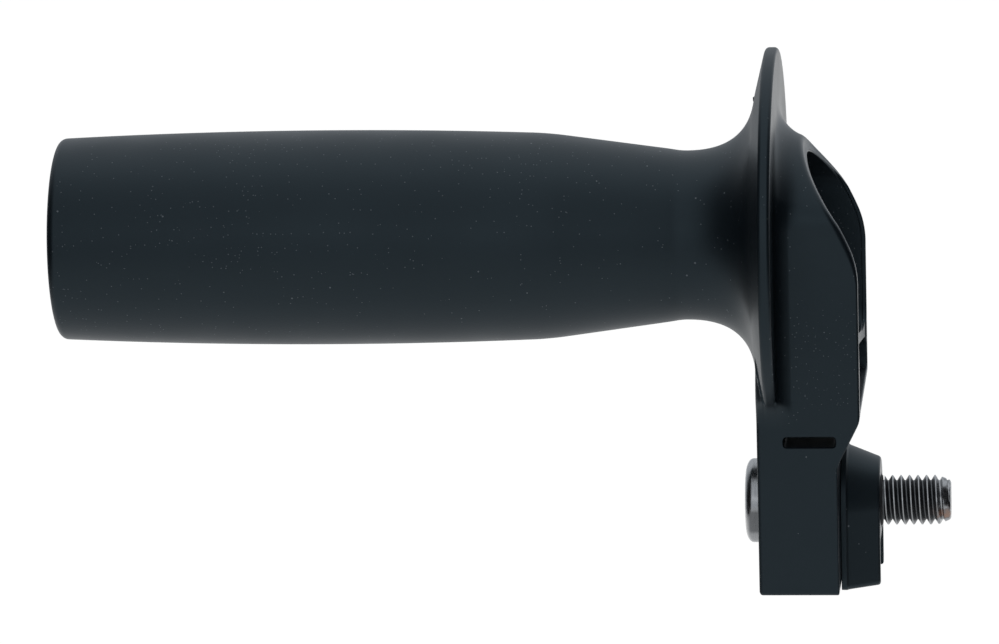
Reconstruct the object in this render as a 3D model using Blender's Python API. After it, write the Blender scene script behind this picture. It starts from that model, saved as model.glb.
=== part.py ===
"""Side handle for a power tool, made as a closed model in metres with +Z up.

The clamp screw lies on the X axis and its thread points at the machine, +X. The machine face of the
locating foot is X = 0. The grip's axis runs parallel to the screw, GRIP_RISE above it.
"""
import math

import bmesh
import bpy

# Clearance between pieces that touch
GAP = 0.0003

# Clamp screw and the hole that it turns in
SCREW_R = 0.00393
SCREW_REACH = 0.0116
SCREW_TIP_LENGTH = 0.0022
SCREW_TIP_R = 0.00325
SCREW_TIP_ROUNDING = 0.0004
HEAD_R = 0.0070
HEAD_LENGTH = 0.0080
HEAD_ROUNDING = 0.0009
SOCKET_ACROSS_FLATS = 0.00635
SOCKET_DEPTH = 0.0045
HOLE_CLEARANCE = 0.0003
HEAD_CLEARANCE = 0.0004
COUNTERBORE_DEPTH = 0.0054

# Retaining ring in a groove of the screw, half out of the mouth of the foot
RING_WALL = 0.0006
RING_THICKNESS = 0.0006
RING_STANDOUT = 0.0003
GROOVE_R = 0.0033

# Locating foot, an open channel with a round back
FOOT_LENGTH = 0.00645
FOOT_TIP_R = 0.0072
FOOT_ROOT_R = 0.00935
FOOT_DROP = 0.0128
FOOT_DRAFT = 0.00025
FOOT_FLANGE = 0.0010
FOOT_FLANGE_LIP = 0.0003
FOOT_WALL = 0.0013
FOOT_ROOF = 0.0056
FOOT_EDGE = 0.0004
FOOT_CORNER = 0.0009

# Clamp block under the arm
BLOCK_THICKNESS = 0.01295
BLOCK_HALF_WIDTH = 0.0170
BLOCK_DROP = 0.01175
BLOCK_CORNER = 0.0006
BACK_EDGE_ROUNDING = 0.0006
FACE_EDGE_ROUNDING = 0.0003

# Arm behind the guard disc, measured from the grip's axis and from the disc's machine side
GRIP_RISE = 0.04545
DISC_TO_BLOCK_FACE = 0.00935
HOOD_RISE = 0.0159
CROWN_FILLET = 0.0060
LIP_ROUNDING = 0.0011
ARM_EDGE_ROUNDING = 0.00045
ARM_DEPTH = 0.0133
HOOD_TOP_DEPTH = 0.0042
BROW_BOTTOM = 0.0055
CHIN_ROUNDING = 0.0040
CHIN_TO_HEEL = 0.0072
HEEL_CLEARANCE = 0.0005
ROOT_FILLET = 0.0034
ROOT_FILLET_TO_SLOT = 0.00565
ROOT_FILLET_FADE = 0.0026
ROOT_FILLET_SINK = 0.00005

# Pockets in the arm, open to the machine, the upper one stepped at its mouth
ARM_WALL = 0.0018
CROWN_WALL = 0.0024
MOUTH_STEP = 0.0004
MOUTH_STEP_DEPTH = 0.0007
WEB_OVER_CHIN = 0.0090
WEB_THICKNESS = 0.0018
WEB_HOLLOW = 0.0014
POCKET_OVER_CHIN = 0.0017
POCKET_FLOOR = 0.0012
UPPER_POCKET_CORNER = 0.0040
LOWER_POCKET_CORNER = 0.0020

# Slot through the block
SLOT_LENGTH = 0.0085
SLOT_HEIGHT = 0.0017
SLOT_CORNER = 0.00055
SLOT_OVER_HEEL = 0.0042
SLOT_FROM_DISC = 0.00515

# Guard disc
DISC_R = 0.0309
DISC_RIM = 0.0021
DISC_EDGE_ROUNDING = 0.00045
DISC_BACK_START_R = 0.0245
DISC_BACK_THICKNESS = 0.0035

# Grip, a barrel that narrows to a neck before the disc
GRIP_LENGTH = 0.1198
BARREL_R = 0.01777
BARREL_CENTRE = 0.0750
BARREL_CURVE_R = 0.930
GRIP_END_ROUNDING = 0.0013
SHOULDER_FROM_DISC = 0.0381
NECK_R = 0.01398
NECK_FROM_DISC = 0.0152
NECK_FLARE_PULL = 0.0110
DISC_FLARE_PULL = 0.0030

# Core of the hollow grip
BORE_MOUTH_R = 0.0129
BORE_NECK_R = 0.0111
BORE_NECK_FROM_DISC = 0.0120
BORE_END_R = 0.0103
GRIP_END_WALL = 0.0034

# Facets
ROUND_STEPS = 56
BORE_STEPS = 40
SCREW_STEPS = 40
CORNER_STEPS = 4
CROWN_STEPS = 8
ROUND_BACK_STEPS = 12

# Places that follow from the sizes above
BLOCK_FACE_X = -FOOT_LENGTH - GAP
DISC_X = BLOCK_FACE_X - DISC_TO_BLOCK_FACE
BLOCK_BACK_X = BLOCK_FACE_X - BLOCK_THICKNESS
COUNTERBORE_X = BLOCK_BACK_X + COUNTERBORE_DEPTH
HEAD_SEAT_X = COUNTERBORE_X - GAP
RING_R = GROOVE_R + GAP + RING_WALL
HOLE_R = SCREW_R + HOLE_CLEARANCE
HEEL_DROP = GRIP_RISE - FOOT_ROOT_R - FOOT_FLANGE_LIP - HEEL_CLEARANCE
CHIN_DROP = HEEL_DROP - CHIN_TO_HEEL
LOWER_POCKET_DROP = CHIN_DROP - POCKET_OVER_CHIN
WEB_DROP = CHIN_DROP - WEB_OVER_CHIN
SLOT_DROP = HEEL_DROP - SLOT_OVER_HEEL
HOOD_ARC_R = 1.18 * BLOCK_HALF_WIDTH
HOOD_CORNER_R = 0.5 * BLOCK_HALF_WIDTH
FLOOR = -GRIP_RISE - BLOCK_DROP
ROOT_FILLET_DROP = SLOT_DROP - SLOT_HEIGHT / 2 - ROOT_FILLET_TO_SLOT


def clear_scene():
    for item in list(bpy.data.objects):
        bpy.data.objects.remove(item, do_unlink=True)


def material(name, colour, roughness, metallic=0.0):
    mat = bpy.data.materials.new(name)
    mat.use_nodes = True
    shader = mat.node_tree.nodes["Principled BSDF"]
    shader.inputs["Base Color"].default_value = (*colour, 1.0)
    shader.inputs["Roughness"].default_value = roughness
    shader.inputs["Metallic"].default_value = metallic
    return mat


def add_object(name, bm, mat=None, place=(0.0, 0.0, 0.0)):
    bmesh.ops.recalc_face_normals(bm, faces=bm.faces)
    mesh = bpy.data.meshes.new(name)
    bm.to_mesh(mesh)
    bm.free()
    mesh.shade_smooth()
    mesh.set_sharp_from_angle(angle=math.radians(32))
    obj = bpy.data.objects.new(name, mesh)
    obj.location = place
    bpy.context.scene.collection.objects.link(obj)
    if mat is not None:
        mesh.materials.append(mat)
    return obj


def revolve(name, profile, steps, mat=None, place=(0.0, 0.0, 0.0), ring=False):
    """Spins a profile of (x, radius) points about the X axis through the object's origin."""
    bm = bmesh.new()
    verts = [bm.verts.new((x, 0.0, r)) for x, r in profile]
    edges = [bm.edges.new(pair) for pair in zip(verts, verts[1:])]
    if ring:
        edges.append(bm.edges.new((verts[-1], verts[0])))
    bmesh.ops.spin(bm, geom=verts + edges, cent=(0, 0, 0), axis=(1, 0, 0), angle=2 * math.pi, steps=steps,
                   use_merge=True)
    bmesh.ops.remove_doubles(bm, verts=bm.verts, dist=1e-7)
    return add_object(name, bm, mat, place)


def loft(name, rings, mat=None, place=(0.0, 0.0, 0.0)):
    """Joins rings of points that mirror left to right, and closes both ends with rows of faces."""
    bm = bmesh.new()
    rows = [[bm.verts.new(p) for p in ring] for ring in rings]
    count = len(rows[0])
    for a, b in zip(rows, rows[1:]):
        for i in range(count):
            j = (i + 1) % count
            bm.faces.new((a[i], a[j], b[j], b[i]))
    for row in (rows[0], rows[-1]):
        for i in range(count // 2 - (count % 2 == 0)):
            quad = (row[i], row[i + 1], row[count - 2 - i], row[count - 1 - i])
            bm.faces.new(tuple(dict.fromkeys(quad)))
    bmesh.ops.connect_verts_nonplanar(bm, angle_limit=math.radians(0.05), faces=bm.faces)
    return add_object(name, bm, mat, place)


def boolean(target, tool, operation):
    tool.hide_render = True
    tool.display_type = "WIRE"
    mod = target.modifiers.new(tool.name, "BOOLEAN")
    mod.operation = operation
    mod.solver = "EXACT"
    mod.object = tool


def arc(cx, cy, radius, start, end, steps):
    """Points on an arc, with its angles in degrees."""
    points = []
    for i in range(steps + 1):
        a = math.radians(start + (end - start) * i / steps)
        points.append((cx + radius * math.cos(a), cy + radius * math.sin(a)))
    return points


def bezier(p0, p1, p2, p3, steps):
    points = []
    for i in range(steps + 1):
        t = i / steps
        w = ((1 - t) ** 3, 3 * t * (1 - t) ** 2, 3 * t * t * (1 - t), t ** 3)
        points.append(tuple(w[0] * a + w[1] * b + w[2] * c + w[3] * d for a, b, c, d in zip(p0, p1, p2, p3)))
    return points


def mirrored(right):
    """Closes the right half of a (y, z) outline, which ends on the middle line, with its mirror image."""
    return right + [(-y, z) for y, z in reversed(right[:-1])]


def hooded_outline(floor, corner, levels, at_side=0.0, at_crown=0.0):
    """Outline of the arm: upright sides, a crown of two tangent arcs and rounded bottom corners.

    The sides stand out by at_side and the middle of the crown by at_crown, with a smooth change between.
    """
    centre_z = HOOD_RISE - HOOD_ARC_R
    corner_y = BLOCK_HALF_WIDTH - HOOD_CORNER_R
    corner_z = centre_z + math.sqrt((HOOD_ARC_R - HOOD_CORNER_R) ** 2 - corner_y ** 2)
    meet = math.atan2(corner_z - centre_z, corner_y)

    def crown_point(y, z, radius, a):
        r = radius + at_side * math.cos(a) ** 2 + at_crown * math.sin(a) ** 2
        return y + r * math.cos(a), z + r * math.sin(a)

    side = BLOCK_HALF_WIDTH + at_side
    right = arc(side - corner, floor + corner, corner, -90, 0, 3)
    right += [(side, z) for z in sorted(levels) if floor + corner < z < min(corner_z, 0.0)]
    turns = [meet * i / CORNER_STEPS for i in range(CORNER_STEPS + 1)]
    right += [crown_point(corner_y, corner_z, HOOD_CORNER_R, a) for a in turns]
    rest = (0.5 * math.pi - meet) / CROWN_STEPS
    right += [crown_point(0.0, centre_z, HOOD_ARC_R, meet + rest * i) for i in range(1, CROWN_STEPS)]
    return mirrored(right + [(0.0, HOOD_RISE + at_crown)])


def round_outline(half, floor, corner):
    """Outline of the foot: a half circle over straight legs with rounded corners."""
    right = arc(half - corner, floor + corner, corner, -90, 0, 3) + [(half, 0.67 * floor), (half, 0.33 * floor)]
    right += arc(0.0, 0.0, half, 0, 90, ROUND_BACK_STEPS)
    return mirrored(right[:-1] + [(0.0, half)])


def box_outline(half, low, high, corner):
    """Rounded box of (y, z) points that mirrors left to right."""
    right = arc(half - corner, low + corner, corner, -90, 0, 4)
    right += arc(half - corner, high - corner, corner, 0, 90, 4)
    return right + [(-y, z) for y, z in reversed(right)]


def ring_at(outline, x):
    return [(x, y, z) for y, z in outline]


def arm_face(z):
    """How far the arm's machine side stands from the disc at a height over the grip's axis."""
    slope = (ARM_DEPTH - DISC_TO_BLOCK_FACE) / (HEEL_DROP - CHIN_DROP)
    tangent = CHIN_ROUNDING * math.tan(math.atan(slope) / 2)
    if z <= -HEEL_DROP:
        return DISC_TO_BLOCK_FACE
    if z < -CHIN_DROP - tangent * math.cos(math.atan(slope)):
        return ARM_DEPTH - slope * (-CHIN_DROP - z)
    if z < -CHIN_DROP + tangent:
        drop = -CHIN_DROP + tangent - z
        return ARM_DEPTH - CHIN_ROUNDING + math.sqrt(CHIN_ROUNDING ** 2 - drop ** 2)
    if z <= -BROW_BOTTOM:
        return ARM_DEPTH
    top = (HOOD_TOP_DEPTH, HOOD_RISE + 0.0001)
    reach = HOOD_RISE + BROW_BOTTOM
    lean = (ARM_DEPTH - HOOD_TOP_DEPTH) / reach
    crest_pull = (top[0] + 0.275 * lean * reach, top[1] - 0.31 * reach)
    curve = bezier(top, crest_pull, (ARM_DEPTH, 0.286 * reach - BROW_BOTTOM), (ARM_DEPTH, -BROW_BOTTOM), 40)
    for (xa, za), (xb, zb) in zip(curve, curve[1:]):
        if zb <= z <= za:
            return xa + (xb - xa) * (za - z) / (za - zb)
    return HOOD_TOP_DEPTH


def arm_levels():
    chin = CHIN_ROUNDING * 0.22
    return (-HEEL_DROP - 0.004, -HEEL_DROP, -CHIN_DROP - chin, -CHIN_DROP, -CHIN_DROP + chin, -ROOT_FILLET_DROP,
            ROOT_FILLET_FADE / 2 - ROOT_FILLET_DROP, ROOT_FILLET_FADE - ROOT_FILLET_DROP, -0.5 * CHIN_DROP,
            -BROW_BOTTOM, -0.72 * BROW_BOTTOM, -0.45 * BROW_BOTTOM, -0.2 * BROW_BOTTOM)


def fillet_height(radius, x):
    """Height of a fillet at a distance x from the face that it starts on."""
    return radius - math.sqrt(radius ** 2 - (radius - x) ** 2) if x < radius else 0.0


def arm_section(inset=0.0):
    """Outline of arm and block, smaller all round by inset."""
    return hooded_outline(FLOOR + inset, BLOCK_CORNER - 0.5 * inset, arm_levels(), -inset, -inset)


def root_section(x):
    """Outline at a distance x from the disc, with a root fillet that fades out down the sides."""
    at_side, at_crown = fillet_height(ROOT_FILLET, x), fillet_height(CROWN_FILLET, x)
    points = []
    for y, z in hooded_outline(FLOOR, BLOCK_CORNER, arm_levels(), at_side, at_crown):
        share = min(max((z + ROOT_FILLET_DROP) / ROOT_FILLET_FADE, 0.0), 1.0) ** 0.6
        points.append((y - math.copysign((1 - share) * at_side, y), z))
    return points


def lip_rounding(z):
    """Rounding of the machine side's edge: full round the crown, less down the arm, crisp on the block."""
    crown = min(max((z / HOOD_RISE - 0.13) / 0.25, 0.0), 1.0)
    arm = min(max((z + HEEL_DROP) / CHIN_TO_HEEL, 0.0), 1.0)
    rounding = FACE_EDGE_ROUNDING + arm * (ARM_EDGE_ROUNDING - FACE_EDGE_ROUNDING)
    return rounding + crown * (LIP_ROUNDING - ARM_EDGE_ROUNDING)


def grip_profile():
    """Outer outline of grip and disc from the far end to the disc's machine side."""
    def barrel(x):
        return BARREL_R - (x + BARREL_CENTRE) ** 2 / (2 * BARREL_CURVE_R)

    end = -GRIP_LENGTH
    start = end + GRIP_END_ROUNDING
    corner_r = barrel(start) - GRIP_END_ROUNDING
    points = [(end, 0.0)] + arc(start, corner_r, GRIP_END_ROUNDING, 180, 90, 4)
    shoulder = -SHOULDER_FROM_DISC
    steps = 12
    points += [(x, barrel(x)) for x in (start + (shoulder - start) * i / steps for i in range(1, steps))]
    lead = 0.0016
    points += [(shoulder - lead, barrel(shoulder - lead)), (shoulder, barrel(shoulder) - 0.00002)]
    neck = -NECK_FROM_DISC
    fall = (barrel(shoulder) - NECK_R) / (neck - 0.0005 - shoulder)
    taper = (shoulder + lead, 0.5 * (shoulder + neck), neck - 0.002)
    points += [(x, barrel(shoulder) - fall * (x - shoulder)) for x in taper]
    edge = DISC_EDGE_ROUNDING
    back_slope = (DISC_R - edge - DISC_BACK_START_R) / (DISC_BACK_THICKNESS - DISC_RIM)
    run = math.hypot(1.0, back_slope)
    flare_end = (-DISC_BACK_THICKNESS, DISC_BACK_START_R)
    pull = (flare_end[0] - DISC_FLARE_PULL / run, flare_end[1] - DISC_FLARE_PULL * back_slope / run)
    points += bezier((neck, NECK_R), (neck + NECK_FLARE_PULL, NECK_R), pull, flare_end, 14)
    points += arc(edge - DISC_RIM, DISC_R - edge, edge, 180, 90, 3)
    points += arc(-edge, DISC_R - edge, edge, 90, 0, 3)
    points += [(0.0, 0.5 * DISC_R), (0.0, 0.0)]
    return points


def bore_profile():
    """Core of the hollow grip, closed at the far end and open through the pocket."""
    end = -GRIP_LENGTH + GRIP_END_WALL
    mouth = 0.5 * POCKET_FLOOR
    return [(end, 0.0)] + arc(end + 0.0015, BORE_END_R - 0.0015, 0.0015, 180, 90, 3) + [
        (-BORE_NECK_FROM_DISC, BORE_NECK_R), (-POCKET_FLOOR, BORE_MOUTH_R), (mouth, BORE_MOUTH_R), (mouth, 0.0)]


def arm_rings():
    """Sections of arm and block from the block's back to the rounded lip on the machine side."""
    back = BLOCK_BACK_X - DISC_X
    r = BACK_EDGE_ROUNDING
    rings = []
    for turn in (0, 30, 60, 90):
        a = math.radians(turn)
        rings.append(ring_at(arm_section(r * (1 - math.sin(a))), back + r * (1 - math.cos(a))))
    rings += [ring_at(arm_section(), -0.0009), ring_at(root_section(0.0), -0.0008)]
    last = 0.8 * (HOOD_TOP_DEPTH - LIP_ROUNDING)
    for share in (0.0, 0.035, 0.13, 0.29, 0.5, 0.74, 1.0):
        rings.append(ring_at(root_section(share * last), share * last - ROOT_FILLET_SINK))
    outer, rooted = arm_section(), root_section(last)
    for share in (0.25, 0.6, 1.0):
        rings.append([])
        for (y, z), (y_root, z_root) in zip(outer, rooted):
            x = last + share * (arm_face(z) - lip_rounding(z) - last)
            radius = CROWN_FILLET if z > 0 else ROOT_FILLET
            left = fillet_height(radius, x) / fillet_height(radius, last)
            rings[-1].append((x, y + left * (y_root - y), z + left * (z_root - z)))
    side, lip = rings[-1], []
    for (x, y, z), (y_in, z_in), (y_out, z_out) in zip(side, arm_section(LIP_ROUNDING), outer):
        share = lip_rounding(z_out) / LIP_ROUNDING
        lip.append((x + lip_rounding(z_out), y + share * (y_in - y_out), z + share * (z_in - z_out)))
    for turn in (math.radians(27), math.radians(58)):
        along, inward = math.sin(turn), 1 - math.cos(turn)
        part = (along, inward, inward)
        rings.append([tuple(p + s * (q - p) for s, p, q in zip(part, a, b)) for a, b in zip(side, lip)])
    return rings + [lip]


def web_hollow(place):
    """A cutter that hollows the front of the web between the two pockets."""
    half = BLOCK_HALF_WIDTH - ARM_WALL - 0.0006
    outer, depth = ARM_DEPTH + 0.003, WEB_HOLLOW
    radius = (half ** 2 + depth ** 2) / (2 * depth)
    low, high = -WEB_DROP - WEB_THICKNESS - 0.0006, -WEB_DROP + 0.0006
    turn = math.degrees(math.asin(half / radius))
    curve = arc(0.0, 0.0, radius, -turn, turn, 10)
    outline = [(ARM_DEPTH - depth + radius - x, y) for x, y in curve] + [(outer, half), (outer, -half)]
    bm = bmesh.new()
    face = bm.faces.new([bm.verts.new((x, y, low)) for x, y in outline])
    grown = bmesh.ops.extrude_face_region(bm, geom=[face])
    verts = [v for v in grown["geom"] if isinstance(v, bmesh.types.BMVert)]
    bmesh.ops.translate(bm, verts=verts, vec=(0.0, 0.0, high - low))
    return add_object("web_hollow", bm, place=place)


def make_handle_body(mat):
    grip_place = (DISC_X, 0.0, GRIP_RISE)
    body = revolve("handle_body", grip_profile(), ROUND_STEPS, mat, grip_place)
    boolean(body, loft("arm_and_block", arm_rings(), place=grip_place), "UNION")

    beyond = ARM_DEPTH + 0.004
    levels = tuple(-BROW_BOTTOM * share for share in (2.6, 1.8, 1.0, 0.72, 0.45, 0.2))
    pocket = hooded_outline(-WEB_DROP, UPPER_POCKET_CORNER, levels, -ARM_WALL, -CROWN_WALL)
    cut = loft("upper_pocket", [ring_at(pocket, -POCKET_FLOOR), ring_at(pocket, beyond)], place=grip_place)
    boolean(body, cut, "DIFFERENCE")
    side, crown = MOUTH_STEP - ARM_WALL, MOUTH_STEP - CROWN_WALL
    mouth = hooded_outline(-WEB_DROP - 0.0001, UPPER_POCKET_CORNER, levels, side, crown)
    start = [(arm_face(z) - MOUTH_STEP_DEPTH, y, z) for y, z in mouth]
    boolean(body, loft("pocket_mouth", [start, ring_at(mouth, beyond)], place=grip_place), "DIFFERENCE")
    inside = BLOCK_HALF_WIDTH - ARM_WALL
    pocket = box_outline(inside, -LOWER_POCKET_DROP, -WEB_DROP - WEB_THICKNESS, LOWER_POCKET_CORNER)
    cut = loft("lower_pocket", [ring_at(pocket, -POCKET_FLOOR), ring_at(pocket, beyond)], place=grip_place)
    boolean(body, cut, "DIFFERENCE")
    boolean(body, web_hollow(grip_place), "DIFFERENCE")
    boolean(body, revolve("grip_core", bore_profile(), BORE_STEPS, place=grip_place), "DIFFERENCE")

    reach = BLOCK_HALF_WIDTH + 0.003
    outline = box_outline(SLOT_LENGTH / 2, -SLOT_HEIGHT / 2, SLOT_HEIGHT / 2, SLOT_CORNER)
    bm = bmesh.new()
    face = bm.faces.new([bm.verts.new((x, -reach, z)) for x, z in outline])
    grown = bmesh.ops.extrude_face_region(bm, geom=[face])
    verts = [v for v in grown["geom"] if isinstance(v, bmesh.types.BMVert)]
    bmesh.ops.translate(bm, verts=verts, vec=(0.0, 2 * reach, 0.0))
    slot = add_object("slot_cut", bm, place=(DISC_X + SLOT_FROM_DISC, 0.0, GRIP_RISE - SLOT_DROP))
    boolean(body, slot, "DIFFERENCE")

    head_hole = HEAD_R + HEAD_CLEARANCE
    profile = [(BLOCK_BACK_X - 0.004, 0.0), (BLOCK_BACK_X - 0.004, head_hole), (COUNTERBORE_X, head_hole),
               (COUNTERBORE_X, HOLE_R), (BLOCK_FACE_X + 0.002, HOLE_R), (BLOCK_FACE_X + 0.002, 0.0)]
    boolean(body, revolve("screw_hole", profile, SCREW_STEPS), "DIFFERENCE")
    return body


def make_locating_foot(mat):
    back = -FOOT_LENGTH
    step = back + FOOT_FLANGE
    lip, r = FOOT_FLANGE_LIP, FOOT_EDGE

    def section(x, inset=0.0, grow=0.0):
        share = (x - step) / -step
        half = FOOT_ROOT_R + (FOOT_TIP_R - FOOT_ROOT_R) * max(share, 0.0) + grow - inset
        floor = -FOOT_DROP - FOOT_DRAFT * (1 - share) - grow + inset
        return ring_at(round_outline(half, floor, FOOT_CORNER), x)

    rings = [section(back, grow=lip), section(step, grow=lip), section(step + 0.0003)]
    rings += [section(-r), section(-0.3 * r, inset=0.3 * r), section(0.0, inset=r)]
    foot = loft("locating_foot", rings, mat)

    rings = []
    for x, r_here in ((back - 0.002, FOOT_ROOT_R), (step, FOOT_ROOT_R), (0.0, FOOT_TIP_R), (0.002, FOOT_TIP_R)):
        rings.append(ring_at(box_outline(r_here - FOOT_WALL, -FOOT_DROP - 0.004, -FOOT_ROOF, 0.0008), x))
    boolean(foot, loft("foot_channel", rings), "DIFFERENCE")

    recess = RING_R + GAP
    depth = RING_THICKNESS - RING_STANDOUT + GAP
    profile = [(back - 0.002, 0.0), (back - 0.002, HOLE_R), (-depth, HOLE_R), (-depth, recess), (0.002, recess)]
    profile.append((0.002, 0.0))
    boolean(foot, revolve("foot_hole", profile, SCREW_STEPS), "DIFFERENCE")
    return foot


def make_clamp_screw(mat):
    top = HEAD_SEAT_X - HEAD_LENGTH
    tip = SCREW_REACH
    groove = (RING_STANDOUT - RING_THICKNESS - GAP, RING_STANDOUT + GAP)
    profile = [(top, 0.0)] + arc(top + HEAD_ROUNDING, HEAD_R - HEAD_ROUNDING, HEAD_ROUNDING, 180, 90, 4)
    profile += [(HEAD_SEAT_X - 0.0002, HEAD_R), (HEAD_SEAT_X, HEAD_R - 0.0002), (HEAD_SEAT_X, SCREW_R)]
    profile += [(groove[0], SCREW_R), (groove[0], GROOVE_R), (groove[1], GROOVE_R), (groove[1], SCREW_R)]
    r = SCREW_TIP_ROUNDING
    profile += [(tip - SCREW_TIP_LENGTH, SCREW_R)] + arc(tip - r, SCREW_TIP_R - r, r, 80, 0, 3) + [(tip, 0.0)]
    screw = revolve("clamp_screw", profile, SCREW_STEPS, mat)

    bm = bmesh.new()
    corner = SOCKET_ACROSS_FLATS / math.sqrt(3)
    reach = top - 0.001
    turns = [math.pi * i / 3 for i in range(6)]
    base = [bm.verts.new((reach, corner * math.sin(a), corner * math.cos(a))) for a in turns]
    grown = bmesh.ops.extrude_face_region(bm, geom=[bm.faces.new(base)])
    verts = [v for v in grown["geom"] if isinstance(v, bmesh.types.BMVert)]
    bmesh.ops.translate(bm, verts=verts, vec=(top + SOCKET_DEPTH - reach, 0.0, 0.0))
    boolean(screw, add_object("hex_socket", bm), "DIFFERENCE")
    return screw


def make_retaining_ring(mat):
    inner = GROOVE_R + GAP
    edge = 0.00012
    back, front = RING_STANDOUT - RING_THICKNESS, RING_STANDOUT
    profile = [(back, inner), (back, RING_R - edge), (back + edge, RING_R), (front - edge, RING_R)]
    profile += [(front, RING_R - edge), (front, inner)]
    return revolve("retaining_ring", profile, SCREW_STEPS, mat, ring=True)


def main():
    clear_scene()
    plastic = material("black_plastic", (0.0105, 0.0135, 0.0165), 0.46)
    steel = material("plated_steel", (0.52, 0.51, 0.50), 0.30, 1.0)
    rubber = material("black_ring", (0.006, 0.006, 0.007), 0.55)
    make_handle_body(plastic)
    make_locating_foot(plastic)
    turning = bpy.data.objects.new("screw_turn", None)
    bpy.context.scene.collection.objects.link(turning)
    for piece in (make_clamp_screw(steel), make_retaining_ring(rubber)):
        piece.parent = turning


if __name__ == "__main__":
    main()
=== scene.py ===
"""Side handle of a power tool: its moulded body, foot, threaded screw and ring, with their finishes.

The packed solids give the frame. The screw's axis is X and its thread points at the machine, +X.
The machine face of the locating foot is X = 0, and the grip's axis lies over the screw.
"""
import math
import bmesh
import bpy
from bpy.props import FloatProperty, FloatVectorProperty, IntProperty, PointerProperty
from mathutils import Matrix, Vector, noise


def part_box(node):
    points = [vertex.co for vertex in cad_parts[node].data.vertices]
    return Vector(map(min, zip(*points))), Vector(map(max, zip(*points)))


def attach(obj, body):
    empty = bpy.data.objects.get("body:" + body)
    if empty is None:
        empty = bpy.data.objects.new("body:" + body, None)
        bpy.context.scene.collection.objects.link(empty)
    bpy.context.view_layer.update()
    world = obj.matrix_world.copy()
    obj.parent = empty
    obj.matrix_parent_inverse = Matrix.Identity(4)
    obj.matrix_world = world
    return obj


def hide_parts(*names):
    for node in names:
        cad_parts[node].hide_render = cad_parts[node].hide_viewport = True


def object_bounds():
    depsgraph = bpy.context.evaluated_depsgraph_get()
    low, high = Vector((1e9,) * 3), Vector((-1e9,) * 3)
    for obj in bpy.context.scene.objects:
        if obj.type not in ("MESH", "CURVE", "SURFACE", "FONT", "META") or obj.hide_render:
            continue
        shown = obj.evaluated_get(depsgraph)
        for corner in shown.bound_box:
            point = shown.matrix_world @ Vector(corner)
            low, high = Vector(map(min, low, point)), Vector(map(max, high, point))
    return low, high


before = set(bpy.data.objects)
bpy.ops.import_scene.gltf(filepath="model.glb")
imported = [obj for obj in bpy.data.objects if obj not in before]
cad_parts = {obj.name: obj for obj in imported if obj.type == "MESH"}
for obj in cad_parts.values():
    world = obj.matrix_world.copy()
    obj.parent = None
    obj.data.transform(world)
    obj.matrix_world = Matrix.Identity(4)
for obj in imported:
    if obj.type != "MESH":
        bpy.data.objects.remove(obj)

CAD_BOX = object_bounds()
BODY_LOW, BODY_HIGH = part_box("handle_body")
FOOT_LOW, FOOT_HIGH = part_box("locating_foot")
SCREW_LOW, SCREW_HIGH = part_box("clamp_screw")
RING_LOW, RING_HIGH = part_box("retaining_ring")

# Points closer than this are one point.
SAME_PLACE = 1e-7
# Edges shorter than this are dropped from a finished mesh.
SHORT_EDGE = 1e-6
# Width of the slivers that the join of arm and disc leaves.
SLIVER = 0.000022
# Facets round the small bores, and round the screw, its ring and the grip's core.
BORE_STEPS = 72
SCREW_STEPS = 96

bl_info = {
    "name": "Power tool side handle",
    "version": (1, 0, 0),
    "blender": (4, 5, 0),
    "location": "View3D > Sidebar > Side handle",
    "description": "Builds the detailed pieces of a power tool's side handle round its packed solids",
    "category": "Object",
}


def length(name, description, default):
    return FloatProperty(name=name, description=description, default=default, precision=5,
                         subtype="DISTANCE", unit="LENGTH")


def angle(name, description, default):
    return FloatProperty(name=name, description=description, default=math.radians(default),
                         subtype="ANGLE", unit="ROTATION")


def share(name, description, default):
    return FloatProperty(name=name, description=description, default=default, min=0.0, soft_max=1.0)


def colour(name, description, default):
    return FloatVectorProperty(name=name, description=description, default=default,
                               size=3, subtype="COLOR", min=0.0, max=1.0)


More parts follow.
